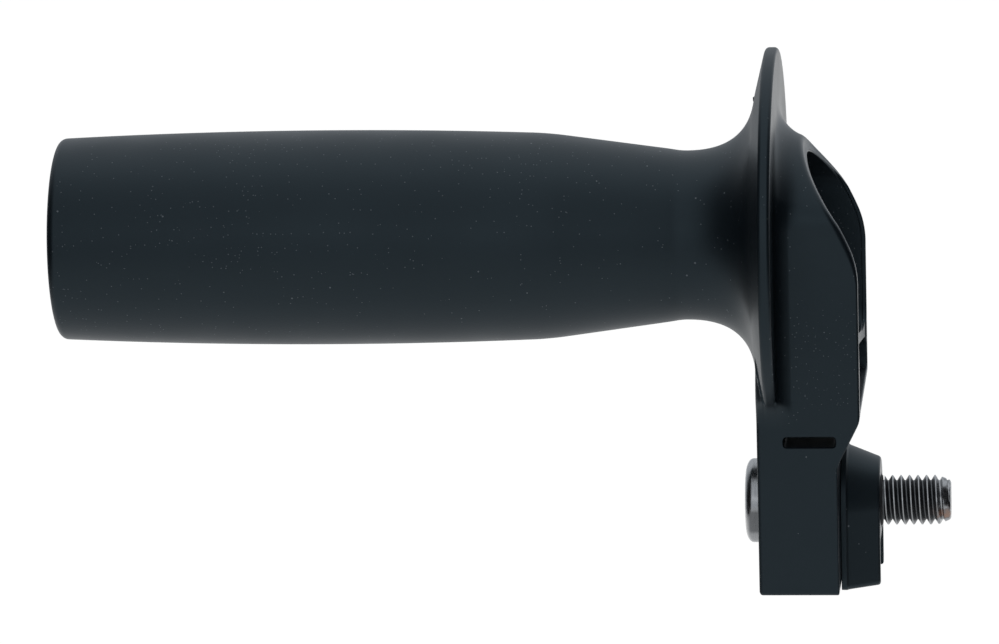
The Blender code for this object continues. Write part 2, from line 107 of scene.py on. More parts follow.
class HandleMouldingSizes(bpy.types.PropertyGroup):
    """Sizes of the one-piece moulding: grip, guard disc, arm and clamp block."""
    disc_radius: length("Disc radius", "Outer radius of the guard disc", BODY_HIGH.y)
    disc_rim: length("Disc rim", "Thickness of the disc at its rim", 0.0021)
    disc_edge: length("Disc edge", "Rounding of the rim's two edges", 0.00065)
    disc_back_start: length("Disc back start", "Radius where the neck's flare becomes the back", 0.0245)
    disc_back_thickness: length("Disc root", "Thickness of the disc at that radius", 0.0035)
    barrel_radius: length("Barrel radius", "Largest radius of the grip", 0.01777)
    barrel_centre: length("Barrel centre", "Distance of the largest radius from the disc", 0.0750)
    barrel_curve: length("Barrel curve", "Radius of the barrel's long curve", 0.930)
    end_rounding: length("End rounding", "Rounding of the grip's far end", 0.0013)
    shoulder: length("Shoulder", "Distance from the disc at which the barrel starts to narrow", 0.0381)
    neck_radius: length("Neck radius", "Radius of the narrowest part of the grip", 0.01398)
    neck: length("Neck", "Distance of the neck from the disc", 0.0152)
    neck_flare: length("Neck flare", "Pull of the flare's curve at the neck", 0.0110)
    disc_flare: length("Disc flare", "Pull of the flare's curve at the disc", 0.0030)
    half_width: length("Half width", "Half of the width of arm and block", 0.0170)
    block_thickness: length("Block thickness", "Thickness of the clamp block along the screw", 0.01318)
    block_corner: length("Block corner", "Rounding of the block's lower corners", 0.0006)
    back_edge: length("Back edge", "Rounding of the block's back edge", 0.0006)
    face_edge: length("Face edge", "Rounding of the block's edge on the machine side", 0.0003)
    arm_out: length("Arm stand-off", "How much further the arm's machine side stands out", 0.00015)
    brow_out: length("Brow stand-off", "How much further still it stands out at the brow", 0.00050)
    lip: length("Lip rounding", "Rounding of the crown's outer edge on the machine side", 0.00115)
    arm_edge: length("Arm edge", "Rounding of that edge down the arm's sides", 0.00045)
    mouth_edge: length("Mouth edge", "Rounding of the pockets' mouths", 0.0002)
    disc_to_block: length("Disc to block face", "From the disc's face to the block's machine face", 0.00968)
    hood_rise: length("Hood rise", "Height of the arch over the grip's axis", 0.0159)
    hood_corner: share("Hood corner", "Radius of the arch's corners, as a share of the half width", 0.38)
    crown_fillet: length("Crown fillet", "Fillet between the disc and the arch's crown", 0.0060)
    arm_depth: length("Arm depth", "How far the arm stands from the disc", 0.0133)
    hood_top: length("Hood top depth", "How far the arch's crown stands from the disc", 0.0042)
    brow: length("Brow", "Drop at which the arm reaches its full depth", 0.0055)
    chin_rounding: length("Chin rounding", "Radius of the bend under the arm's full depth", 0.0040)
    chin_to_heel: length("Chin to heel", "Height of the slope down to the block", 0.0076)
    heel_clearance: length("Heel clearance", "Gap between the slope's foot and the locating foot", 0.0005)
    root_fillet: length("Root fillet", "Fillet between the disc's faces and the arm", 0.0034)
    rim_fillet: length("Rim fillet", "Fillet between the disc's rim and the arm's sides", 0.0068)
    cone_fillet: length("Cone fillet", "Fillet between the disc's back and the arm's sides", 0.0006)
    rim_run_out: length("Rim run-out", "Height in which the rim's fillet fades out upward", 0.0075)
    wall: length("Wall", "Wall of the arm at its sides", 0.0018)
    crown_wall: length("Crown wall", "Wall of the arm at its crown", 0.0024)
    mouth_step: length("Mouth step", "Width of the step in the upper pocket's mouth", 0.0004)
    mouth_step_depth: length("Mouth step depth", "Depth of that step", 0.0007)
    web_over_chin: length("Web over chin", "Height of the web's top over the arm's bend", 0.0086)
    web: length("Web", "Thickness of the web between the pockets", 0.0018)
    web_hollow: length("Web hollow", "How far the web's front is hollowed", 0.0014)
    pocket_over_chin: length("Pocket over chin", "Height of the lower pocket's floor over the chin", 0.0013)
    pocket_floor: length("Pocket floor", "How far the pockets reach into the disc", 0.0012)
    upper_corner: length("Upper pocket corner", "Rounding of the upper pocket's lower corners", 0.0040)
    lower_corner: length("Lower pocket corner", "Rounding of the lower pocket's corners", 0.0020)
    slot_length: length("Slot length", "Length of the slot through the block", 0.0085)
    slot_height: length("Slot height", "Height of the slot", 0.0017)
    slot_corner: length("Slot corner", "Rounding of the slot's corners", 0.00055)
    slot_over_heel: length("Slot over heel", "Height of the slot over the slope's foot", 0.0042)
    slot_from_disc: length("Slot from disc", "Distance of the slot's middle from the disc", 0.00515)
    bore_mouth: length("Core mouth", "Radius of the grip's core at the disc", 0.0129)
    bore_neck: length("Core neck", "Radius of the core in the neck", 0.0111)
    bore_neck_at: length("Core neck place", "Distance of that radius from the disc", 0.0120)
    bore_end: length("Core end", "Radius of the core at the far end", 0.0103)
    end_wall: length("End wall", "Wall at the grip's far end", 0.0034)
    head_hole: length("Head hole", "Radius of the counterbore for the screw's head", 0.0074)
    head_hole_depth: length("Head hole depth", "Depth of the counterbore", 0.0054)
    screw_hole: length("Screw hole", "Radius of the screw's hole", 0.00423)
    steps: IntProperty(name="Round steps", description="Facets round the grip and disc", default=168, min=24)


class HandleFootSizes(bpy.types.PropertyGroup):
    """Sizes of the locating foot."""
    tip_radius: length("Tip radius", "Radius of the round back at the machine face", 0.0072)
    root_radius: length("Root radius", "Radius of the round back at the block", 0.00935)
    drop: length("Drop", "Reach of the legs under the screw's axis", 0.0128)
    draft: length("Draft", "How much further the legs reach at the block", 0.00025)
    flange: length("Flange", "Thickness of the flange on the block", 0.0010)
    flange_lip: length("Flange lip", "How far the flange stands out", 0.0003)
    wall: length("Wall", "Wall of the legs", 0.0013)
    roof: length("Roof", "Height of the channel's roof under the screw's axis", 0.0056)
    edge: length("Edge", "Rounding of the machine end's edge", 0.0004)
    corner: length("Corner", "Rounding of the legs' corners", 0.0009)
    joint: length("Joint", "Gap between the block and the flange", 0.00003)
    recess: length("Recess", "Radius of the recess for the retaining ring", 0.0045)
    recess_depth: length("Recess depth", "Depth of that recess", 0.0006)


class HandleScrewSizes(bpy.types.PropertyGroup):
    """Sizes of the clamp screw and its retaining ring."""
    crest: length("Crest radius", "Radius across the thread's crests", 0.00413)
    shank: length("Shank radius", "Radius of the plain shank in the block and the foot", 0.00393)
    pitch: length("Pitch", "Pitch of the thread", 0.001411)
    depth: length("Thread depth", "Depth of the thread", 0.00086)
    tip_length: length("Tip length", "Length of the tapered tip", 0.0022)
    tip_radius: length("Tip radius", "Radius of the tip's end", 0.00325)
    phase: share("Phase", "Share of a turn by which the thread starts late", 0.635)
    head_radius: length("Head radius", "Radius of the head", 0.0070)
    head_dome: length("Head dome", "How far the head's outer edge is domed along the screw", 0.0013)
    head_round: length("Head round", "How far that dome reaches in from the head's side", 0.0022)
    socket: length("Socket", "Width of the hexagon socket across its flats", 0.00635)
    socket_depth: length("Socket depth", "Depth of the socket", 0.0045)
    groove: length("Groove radius", "Radius of the groove for the ring", 0.0033)
    ring_inner: length("Ring inner radius", "Inner radius of the retaining ring", 0.0036)
    ring_round: length("Ring rounding", "Rounding of the ring's edges", 0.00018)


class HandleFinish(bpy.types.PropertyGroup):
    """Colours and grain of the finishes."""
    plastic: colour("Plastic", "Colour of the black plastic", (0.0042, 0.0066, 0.0092))
    plastic_haze: colour("Plastic haze", "Colour of its paler rubbed patches", (0.0062, 0.0092, 0.0122))
    # This colour is used for the pale specks and for the painted glints.
    speck: colour("Speck", "Colour of the light specks in the plastic", (0.15, 0.16, 0.17))
    sheen: colour("Sheen", "Tint of the plastic's reflections", (0.66, 0.88, 1.0))
    plastic_roughness: share("Plastic roughness", "Roughness of the plastic", 0.43)
    polish: share("Polish", "How much smoother the plastic is on the faces toward the machine", 0.11)
    grain: length("Grain", "Size of the moulded grain", 0.00032)
    steel: colour("Steel", "Colour of the plated steel", (0.40, 0.405, 0.41))
    # Dark grey for the painted shade in the thread's roots and the painted dark reflection low on the head,
    # and for the stains near the tip.
    painted_shade_and_stain: colour("Painted shade and stain", "Colour of the dull thread roots and stains", (0.135, 0.140, 0.145))
    tarnish: colour("Tarnish", "Colour of its brown tint", (0.36, 0.24, 0.19))
    steel_roughness: share("Steel roughness", "Roughness of the plated steel", 0.24)
    rubber: colour("Ring", "Colour of the black ring", (0.0070, 0.0070, 0.0078))


class HandleStudio(bpy.types.PropertyGroup):
    """The camera's place and the plain studio round the part."""
    azimuth: angle("Azimuth", "How far the camera stands round to the machine's end", 5.6)
    elevation: angle("Elevation", "How high the camera stands", 13.8)
    roll: angle("Roll", "Roll of the camera", 1.636)
    distance: length("Distance", "Distance of the camera from the disc's centre", 1.1385)
    shift_right: length("Shift right", "Disc's centre right of the camera's axis", 0.04625)
    shift_up: length("Shift up", "Disc's centre over the camera's axis", 0.01446)
    lens: FloatProperty(name="Lens", description="Focal length in millimetres, for a 36 mm wide sensor",
                        default=248.6)
    floor_drop: length("Floor drop", "Height of the part over the floor", 0.22)
    floor_width: length("Floor width", "Width of the floor", 1.1)
    tent: share("Tent", "Strength of the light from all round", 0.74)
    tent_ends: share("Tent ends", "Share of that light from the left and the right", 0.02)
    tent_dip: share("Tent dip", "Share of that light missing low behind the part", 0.12)
    floor_glow: share("Floor glow", "How white the floor under the part is in reflections", 0.38)
    floor: colour("Floor", "Colour of the floor", (0.90, 0.90, 0.90))


class FrameWords:
    """Places in the frame that follow from the packed solids and the sizes."""

    def __init__(self, m):
        self.disc_x = BODY_HIGH.x - m.arm_depth
        self.grip_z = BODY_HIGH.z - m.disc_radius
        self.grip_length = self.disc_x - BODY_LOW.x
        self.block_face = self.disc_x + m.disc_to_block
        self.block_back = self.block_face - m.block_thickness
        self.floor = BODY_LOW.z - self.grip_z
        foot_top = FOOT_HIGH.z
        self.heel = self.grip_z - foot_top - m.heel_clearance
        self.chin = self.heel - m.chin_to_heel
        self.slot = self.heel - m.slot_over_heel
        self.web = self.chin - m.web_over_chin


def smooth_object(name, bm, material=None, sharp=32.0):
    """A new object at the origin from a mesh that is already in place."""
    bmesh.ops.remove_doubles(bm, verts=bm.verts, dist=SAME_PLACE)
    bmesh.ops.recalc_face_normals(bm, faces=bm.faces)
    mesh = bpy.data.meshes.new(name)
    bm.to_mesh(mesh)
    bm.free()
    mesh.shade_smooth()
    mesh.set_sharp_from_angle(angle=math.radians(sharp))
    obj = bpy.data.objects.new(name, mesh)
    bpy.context.scene.collection.objects.link(obj)
    if material is not None:
        mesh.materials.append(material)
    return obj


def revolve(name, profile, steps, material=None, centre=(0.0, 0.0, 0.0), ring=False):
    """Spins (x, radius) points about a line along X through centre."""
    bm = bmesh.new()
    cx, cy, cz = centre
    rows = []
    for x, r in profile:
        if r < 1e-9:
            rows.append([bm.verts.new((cx + x, cy, cz))])
            continue
        turn = [2 * math.pi * i / steps for i in range(steps)]
        rows.append([bm.verts.new((cx + x, cy + r * math.cos(a), cz + r * math.sin(a))) for a in turn])
    pairs = list(zip(rows, rows[1:]))
    if ring:
        pairs.append((rows[-1], rows[0]))
    for a, b in pairs:
        for i in range(steps):
            j = (i + 1) % steps
            corners = (a[i % len(a)], a[j % len(a)], b[j % len(b)], b[i % len(b)])
            corners = tuple(dict.fromkeys(corners))
            if len(corners) > 2:
                bm.faces.new(corners)
    return smooth_object(name, bm, material)


def loft(name, rings, material=None):
    """Joins rings of points that mirror left to right, and closes both ends with rows of faces."""
    bm = bmesh.new()
    rows = [[bm.verts.new(p) for p in ring] for ring in rings]
    count = len(rows[0])
    for a, b in zip(rows, rows[1:]):
        for i in range(count):
            j = (i + 1) % count
            bm.faces.new((a[i], a[j], b[j], b[i]))
    for row in (rows[0], rows[-1]):
        for i in range(count // 2 - (count % 2 == 0)):
            quad = (row[i], row[i + 1], row[count - 2 - i], row[count - 1 - i])
            bm.faces.new(tuple(dict.fromkeys(quad)))
    bmesh.ops.connect_verts_nonplanar(bm, angle_limit=math.radians(0.05), faces=bm.faces)
    return smooth_object(name, bm, material)


def apply_boolean(target, tool, operation):
    """Joins or cuts two closed meshes and leaves one plain mesh."""
    mod = target.modifiers.new("joint", "BOOLEAN")
    mod.operation = operation
    mod.solver = "EXACT"
    mod.object = tool
    apply_modifiers(target)
    bpy.data.objects.remove(tool, do_unlink=True)


def join(target, tool):
    apply_boolean(target, tool, "UNION")


def cut(target, tool):
    apply_boolean(target, tool, "DIFFERENCE")


def weld(obj, distance):
    """Merges the slivers that a join leaves where two surfaces meet at a small angle."""
    bm = bmesh.new()
    bm.from_mesh(obj.data)
    bmesh.ops.remove_doubles(bm, verts=bm.verts, dist=distance)
    bmesh.ops.dissolve_degenerate(bm, edges=bm.edges, dist=SHORT_EDGE)
    bm.to_mesh(obj.data)
    bm.free()


def apply_modifiers(obj):
    depsgraph = bpy.context.evaluated_depsgraph_get()
    mesh = bpy.data.meshes.new_from_object(obj.evaluated_get(depsgraph), depsgraph=depsgraph)
    obj.modifiers.clear()
    old = obj.data
    obj.data = mesh
    mesh.name = obj.name
    bpy.data.meshes.remove(old)


def finish_mesh(obj, sharp=38.0):
    """Marks the sharp edges and lets large faces lead the smooth shading."""
    obj.data.shade_smooth()
    obj.data.set_sharp_from_angle(angle=math.radians(sharp))
    mod = obj.modifiers.new("even_shading", "WEIGHTED_NORMAL")
    mod.keep_sharp = True
    mod.weight = 80
    apply_modifiers(obj)


def arc(cx, cy, radius, start, end, steps):
    """Points on an arc, with its angles in degrees."""
    turn = [math.radians(start + (end - start) * i / steps) for i in range(steps + 1)]
    return [(cx + radius * math.cos(a), cy + radius * math.sin(a)) for a in turn]


def bezier(p0, p1, p2, p3, steps):
    points = []
    for i in range(steps + 1):
        t = i / steps
        w = ((1 - t) ** 3, 3 * t * (1 - t) ** 2, 3 * t * t * (1 - t), t ** 3)
        points.append(tuple(w[0] * a + w[1] * b + w[2] * c + w[3] * d for a, b, c, d in zip(p0, p1, p2, p3)))
    return points


def mirrored(right):
    """Closes the right half of a (y, z) outline with its mirror image."""
    left = [(-y, z) for y, z in reversed(right)]
    if right[-1][0] == 0.0:
        left = left[1:]
    return right + left


def section(x, outline):
    """An outline of (y, z) points, placed at x."""
    return [(x, y, z) for y, z in outline]


def grip_profile(m, w):
    """Outer outline of grip and disc, as x from the disc's face and radius."""
    def barrel(x):
        return m.barrel_radius - (x + m.barrel_centre) ** 2 / (2 * m.barrel_curve)

    def taper(x):
        return barrel(shoulder) - fall * (x - shoulder)

    end = -w.grip_length
    start = end + m.end_rounding
    points = [(end, 0.0), (end, 0.5 * m.barrel_radius)]
    points += arc(start, barrel(start) - m.end_rounding, m.end_rounding, 180, 90, 8)
    shoulder = -m.shoulder
    steps = 30
    points += [(x, barrel(x)) for x in (start + (shoulder - start) * i / steps for i in range(1, steps))]
    neck = -m.neck
    neck_slack, shoulder_bend, neck_bend = 0.0005, 0.0026, 0.0035
    fall = (barrel(shoulder) - m.neck_radius) / (neck - neck_slack - shoulder)
    lead = shoulder_bend
    slope = -(shoulder + m.barrel_centre) / m.barrel_curve
    bend_start = (shoulder - lead, barrel(shoulder - lead))
    bend_end = (shoulder + lead, barrel(shoulder) - fall * lead)
    pull = 0.6 * lead
    points = [p for p in points if p[0] < bend_start[0] - 0.001]
    points += bezier(bend_start, (bend_start[0] + pull, bend_start[1] + slope * pull),
                     (bend_end[0] - pull, bend_end[1] + fall * pull), bend_end, 6)
    points += [(x, taper(x)) for x in (0.7 * shoulder + 0.3 * neck, 0.3 * shoulder + 0.7 * neck)]
    lead = neck_bend
    before = (neck - lead, taper(neck - lead))
    points += bezier(before, (before[0] + 0.5 * lead, before[1] - 0.5 * fall * lead),
                     (neck - 0.4 * lead, m.neck_radius), (neck, m.neck_radius), 6)[:-1]
    edge = m.disc_edge
    back_slope = (m.disc_radius - edge - m.disc_back_start) / (m.disc_back_thickness - m.disc_rim)
    run = math.hypot(1.0, back_slope)
    flare_end = (-m.disc_back_thickness, m.disc_back_start)
    flare_pull = (flare_end[0] - m.disc_flare / run, flare_end[1] - m.disc_flare * back_slope / run)
    points += bezier((neck, m.neck_radius), (neck + m.neck_flare, m.neck_radius), flare_pull, flare_end, 30)
    points += arc(edge - m.disc_rim, m.disc_radius - edge, edge, 170, 90, 6)
    points += arc(-edge, m.disc_radius - edge, edge, 90, 0, 6)
    points += [(0.0, 0.6 * m.disc_radius), (0.0, 0.3 * m.disc_radius), (0.0, 0.0)]
    return points


def core_profile(m, w):
    """The hollow core of the grip, closed at the far end and open through the upper pocket."""
    end = -w.grip_length + m.end_wall
    mouth, corner, flare = 0.5 * m.pocket_floor, 0.0015, 0.0003
    points = [(end, 0.0)] + arc(end + corner, m.bore_end - corner, corner, 180, 90, 6)
    points += [(-m.bore_neck_at, m.bore_neck), (-m.pocket_floor - 2 * flare, m.bore_mouth - 0.0001)]
    return points + [(-m.pocket_floor, m.bore_mouth + flare), (mouth, m.bore_mouth + flare), (mouth, 0.0)]


def smooth_step(value, start, end):
    """Rises softly from 0 to 1 while a value goes from start to end."""
    t = min(max((value - start) / (end - start), 0.0), 1.0)
    return t * t * (3 - 2 * t)


def arm_face(m, w, z):
    """How far the arm's machine side stands from the disc, at a height z over the grip's axis.

    It is a little fuller than the plain face, most of all at the brow.
    """
    fullness = m.arm_out * smooth_step(z, -w.heel, -w.chin) * smooth_step(z, m.hood_rise, 0.5 * m.hood_rise)
    brow = smooth_step(z, -1.1 * m.brow, 0.2 * m.brow) * smooth_step(z, 0.85 * m.hood_rise, 0.3 * m.hood_rise)
    return plain_arm_face(m, w, z) + fullness + m.brow_out * brow


def plain_arm_face(m, w, z):
    """The same without that fullness: block, slope, bend, upright face, and the S curve over the brow."""
    slope = (m.arm_depth - m.disc_to_block) / m.chin_to_heel
    lean = math.atan(slope)
    tangent = m.chin_rounding * math.tan(lean / 2)
    if z <= -w.heel:
        return m.disc_to_block
    if z < -w.chin - tangent * math.cos(lean):
        return m.arm_depth - slope * (-w.chin - z)
    if z < -w.chin + tangent:
        drop = -w.chin + tangent - z
        return m.arm_depth - m.chin_rounding + math.sqrt(m.chin_rounding ** 2 - drop ** 2)
    if z <= -m.brow:
        return m.arm_depth
    top = (m.hood_top, m.hood_rise + 0.0001)
    reach = m.hood_rise + m.brow
    lean = (m.arm_depth - m.hood_top) / reach
    top_out, top_pull, brow_pull = 0.300, 0.31, 0.286
    curve = bezier(top, (top[0] + top_out * lean * reach, top[1] - top_pull * reach),
                   (m.arm_depth, brow_pull * reach - m.brow), (m.arm_depth, -m.brow), 60)
    for (xa, za), (xb, zb) in zip(curve, curve[1:]):
        if zb <= z <= za:
            return xa + (xb - xa) * (za - z) / (za - zb)
    return m.hood_top


def fillet_height(radius, x):
    """Height of a fillet at a distance x from the face that it starts on."""
    x = max(x, 0.0)
    return radius - math.sqrt(radius ** 2 - (radius - x) ** 2) if x < radius else 0.0


def disc_blend(m, x, z):
    """How far the fillet round the disc stands out of the arm's side, at a place on that side.

    By the rim it follows a ball that rolls round it, sunk a little so that it meets the rim at an angle. Away
    from the rim it turns into the smaller fillets of the disc's two faces.
    """
    sink, edge_share = 0.00005, 0.6
    edge = m.disc_edge
    across = min(max(x, -m.disc_rim), 0.0)
    past = max(across + edge, edge - m.disc_rim - across, 0.0)
    radius = m.disc_radius - sink - edge + math.sqrt(max(edge ** 2 - (edge_share * past) ** 2, 0.0))
    r = m.rim_fillet
    start = -math.sqrt((radius + r) ** 2 - (m.half_width + r) ** 2)
    reach = r * -start / (radius + r)
    below = max(start + reach - z, 0.0)
    face_fillet = m.root_fillet
    beside = max(x, 0.0)
    if x < 0.0:
        face_fillet = m.cone_fillet
        outward = math.hypot(m.half_width, z)
        slant = (outward - m.disc_back_start) / (m.disc_radius - edge - m.disc_back_start)
        cone = (m.disc_back_thickness - m.disc_rim) * (1 - min(max(slant, 0.0), 1.0))
        beside = max(-x - m.disc_rim - cone + sink, 0.0)
    away = math.hypot(below, beside)
    turn = math.atan2(beside, below)
    by_rim = r - math.sqrt(r ** 2 - (reach - away) ** 2) if away < reach else 0.0
    rim_share = math.cos(turn) ** 2
    if x < 0.0:
        rim_share = max(rim_share, smooth_step(z - start - reach, m.rim_run_out, 0.0))
    return rim_share * by_rim + (1 - rim_share) * fillet_height(face_fillet, away)


def quarter(first):
    """Nine angles of a quarter turn, from a number of sixteenths of a half turn on."""
    return [math.pi * (first + i) / 16 for i in range(9)]


def outward_arc(y, z, radius, angles, at_side=0.0, at_crown=0.0):
    """Points (y, z) on an arc with their outward normals.

    They stand out by at_side where the arc faces the side, and by at_crown where it faces up.
    """
    points = []
    for a in angles:
        out_y, out_z = math.cos(a), math.sin(a)
        r = radius + at_side * out_y ** 2 + at_crown * out_z ** 2
        points.append((y + r * out_y, z + r * out_z, out_y, out_z))
    return points


def hooded_base(m, floor, corner, levels, at_side=0.0, at_crown=0.0):
    """Right half of the arm's outline as (y, z) points with their outward normals.

    It has upright sides, a crown of two tangent arcs and rounded bottom corners. The sides stand out by
    at_side and the middle of the crown by at_crown.
    """
    crown_share, low_clear, high_clear = 1.18, 1e-5, 1e-4
    arc_r, corner_r = crown_share * m.half_width, m.hood_corner * m.half_width
    centre_z = m.hood_rise - arc_r
    corner_y = m.half_width - corner_r
    corner_z = centre_z + math.sqrt((arc_r - corner_r) ** 2 - corner_y ** 2)
    meet = math.atan2(corner_z - centre_z, corner_y)
    side = m.half_width + at_side
    points = outward_arc(side - corner, floor + corner, corner, quarter(-8))
    points += [(side, z, 1.0, 0.0) for z in levels if floor + corner + low_clear < z < corner_z - high_clear]
    for steps, first, last, y, z, radius in ((14, 0.0, meet, corner_y, corner_z, corner_r),
                                             (40, meet, 0.5 * math.pi, 0.0, centre_z, arc_r)):
        angles = [first + (last - first) * i / steps for i in range(steps)]
        points += outward_arc(y, z, radius, angles, at_side, at_crown)
    return points + [(0.0, m.hood_rise + at_crown, 0.0, 1.0)]


def box_base(half, low, high, corner):
    """Right half of a rounded box as (y, z) points with their outward normals."""
    lower = outward_arc(half - corner, low + corner, corner, quarter(-8))
    return lower + outward_arc(half - corner, high - corner, corner, quarter(0))


def place_ring(w, base, depth, grow):
    """Puts an outline into the frame.

    Depth says how far each point stands from the disc, and grow how far it stands out of the outline.
    """
    right = []
    for y, z, out_y, out_z in base:
        g = grow(y, z, out_y, out_z) if callable(grow) else grow
        x = depth(z) if callable(depth) else depth
        right.append((w.disc_x + x, y + out_y * g, w.grip_z + z + out_z * g))
    middle = right[-1][1] == 0.0
    return right + [(x, -y, z) for x, y, z in reversed(right[:-1] if middle else right)]


def side_levels(w):
    """Heights at which the arm's straight sides have a row of points, closer by the disc's rim."""
    top, rim_low, rim_high = 0.006, -0.0300, -0.0195
    coarse, fine = 0.0008, 0.00035
    heights = []
    z = w.floor
    while z < top:
        heights.append(z)
        z += fine if rim_low < z < rim_high else coarse
    return heights


def arm_rings(m, w):
    """Cross-sections of arm and block from the block's back to the rounded lip on the machine side."""
    back = w.block_back - w.disc_x
    levels = side_levels(w)

    def base(inset=0.0):
        return hooded_base(m, w.floor + inset, m.block_corner - 0.5 * inset, levels, -inset, -inset)

    def grow_at(depth):
        def grow(y, z, out_y, out_z):
            x = depth(z) if callable(depth) else depth
            crown = fillet_height(m.crown_fillet, x) * out_z ** 2 if z > 0.0 else 0.0
            return disc_blend(m, x, min(z, 0.0)) * out_y ** 2 + crown
        return grow

    rings = []
    for turn in (0, 18, 36, 54, 72, 90):
        a = math.radians(turn)
        x = back + m.back_edge * (1 - math.cos(a))
        rings.append(place_ring(w, base(m.back_edge * (1 - math.sin(a))), x, grow_at(x)))
    plain = base()
    first = back + m.back_edge
    behind = [first + (-m.disc_rim - first) * i / 7 for i in range(1, 8)]
    beside = [-0.5 * m.disc_rim * (1 + math.cos(math.pi * i / 14)) for i in range(1, 14)]
    last = 0.8 * (m.hood_top - m.lip)
    before = [last * (1 - math.cos(0.5 * math.pi * i / 12)) for i in range(13)]
    rings += [place_ring(w, plain, x, grow_at(x)) for x in behind + beside + before]

    def lip(z):
        arm = smooth_step(z, -w.heel, -w.chin)
        crown = smooth_step(z, -0.36 * m.hood_rise, 0.13 * m.hood_rise)
        return m.face_edge + arm * (m.arm_edge - m.face_edge) + crown * (m.lip - m.arm_edge)

    for i in range(1, 7):
        def depth(z, portion=i / 6):
            return last + portion * (arm_face(m, w, z) - lip(z) - last)
        rings.append(place_ring(w, plain, depth, grow_at(depth)))
    for i in range(1, 9):
        a = 0.5 * math.pi * i / 8

        def depth(z, out=math.sin(a)):
            return arm_face(m, w, z) - (1 - out) * lip(z)

        def hold(z, at_lip=depth):
            return 0.6 * at_lip(z) + 0.4 * (arm_face(m, w, z) - lip(z))

        def grow(y, z, out_y, out_z, start=grow_at(hold), inward=1 - math.cos(a)):
            return start(y, z, out_y, out_z) - inward * lip(z)
        rings.append(place_ring(w, plain, depth, grow))
    return rings


def pocket_rings(m, w, base, step=0.0):
    """A cutter for a pocket, with a rounded mouth and, where step is given, a step inside the mouth."""
    floor = -m.pocket_floor
    floor_edge = ((0.0, -0.0005), (0.00015, -0.00015), (0.0005, 0.0))
    rings = [place_ring(w, base, floor + x, g) for x, g in floor_edge]

    def add(back, grow):
        rings.append(place_ring(w, base, lambda z: arm_face(m, w, z) - back, grow))

    edge, bevel, outside, flare = 0.00012, 0.0001, 0.004, step + m.mouth_edge * 1.6
    if step:
        for turn in (0, 30, 60, 90):
            a = math.radians(turn)
            add(m.mouth_step_depth + edge * (1 - math.sin(a)), edge * (1 - math.cos(a)))
        add(m.mouth_step_depth, step - bevel)
        add(m.mouth_step_depth - bevel, step)
    for turn in (0, 20, 40, 60, 78):
        a = math.radians(turn)
        add(m.mouth_edge * (1 - math.sin(a)), step + m.mouth_edge * (1 - math.cos(a)))
    add(-outside / 10, flare)
    rings.append(place_ring(w, base, m.arm_depth + outside, flare))
    return rings


def upper_pocket_rings(m, w):
    spacing = 0.0007
    levels = [-w.web + spacing * i for i in range(50)]
    base = hooded_base(m, -w.web, m.upper_corner, levels, -m.wall, -m.crown_wall)
    return pocket_rings(m, w, base, m.mouth_step)


def lower_pocket_rings(m, w):
    half = m.half_width - m.wall
    return pocket_rings(m, w, box_base(half, -w.chin + m.pocket_over_chin, -w.web - m.web, m.lower_corner))


def web_hollow_rings(m, w):
    """A cutter that hollows the front of the web between the two pockets."""
    past, outside, steps = 0.0006, 0.003, 24
    half, depth = m.half_width - m.wall - past, m.web_hollow
    radius = (half ** 2 + depth ** 2) / (2 * depth)
    turns = [math.asin(half / radius) * (steps - i) / steps for i in range(steps + 1)]
    right = [(m.arm_depth - depth + radius * (1 - math.cos(a)), radius * math.sin(a)) for a in turns]
    right = [(m.arm_depth + outside, half)] + right
    outline = right + [(x, -y) for x, y in reversed(right[:-1])]
    levels = (-w.web - m.web - past, -w.web + past)
    return [[(w.disc_x + x, y, w.grip_z + z) for x, y in outline] for z in levels]


def slot_rings(m, w):
    """A cutter for the slot, a little flared at both side faces."""
    outside, outside_flare, flare, bevel = 0.003, 0.0012, 0.00022, 0.0001
    stations = [(-(m.half_width + outside), outside_flare), (-m.half_width - bevel, flare),
                (-m.half_width + 0.5 * flare, 0.4 * flare), (-m.half_width + 1.2 * flare, 0.0)]
    stations += [(-y, g) for y, g in reversed(stations)]
    x0 = w.disc_x + m.slot_from_disc
    z0 = w.grip_z - w.slot
    rings = []
    for y, g in stations:
        long, high, r = 0.5 * m.slot_length + g, 0.5 * m.slot_height + g, m.slot_corner + g
        right = arc(long - r, r - high, r, -90, 0, 7) + arc(long - r, high - r, r, 0, 90, 7)
        outline = right + [(-x, z) for x, z in reversed(right)]
        rings.append([(x0 + x, y, z0 + z) for x, z in outline])
    return rings


def screw_hole_profile(m, w):
    """A cutter for the screw's hole and the counterbore of its head, in the frame's own x."""
    back, edge, outside = w.block_back, 0.0004, 0.004
    seat = back + m.head_hole_depth
    out = w.block_face + 0.5 * outside
    return [(back - outside, 0.0), (back - outside, m.head_hole + 3 * edge),
            (back - 0.5 * edge, m.head_hole + 1.1 * edge), (back, m.head_hole + edge),
            (back + 0.3 * edge, m.head_hole + 0.35 * edge), (back + edge, m.head_hole), (seat, m.head_hole),
            (seat, m.screw_hole), (out, m.screw_hole), (out, 0.0)]


# The burr of mould flash: its place from the middle of the disc's face, its size and its random seed.
FLASH = ((-0.0040, 0.0040, 0.0220), (0.00032, 0.0004, 0.00048), 3.0)


def add_flash(body, place, size, seed):
    """Joins a tiny torn burr of mould flash to the moulding."""
    bm = bmesh.new()
    bmesh.ops.create_icosphere(bm, subdivisions=2, radius=1.0)
    for v in bm.verts:
        rough = 1.0 + 0.35 * noise.noise(v.co * 1.7 + Vector((seed, 0.0, 0.0)))
        v.co = Vector((v.co.x * size[0], v.co.y * size[1], v.co.z * size[2])) * rough + Vector(place)
    join(body, smooth_object("flash", bm))


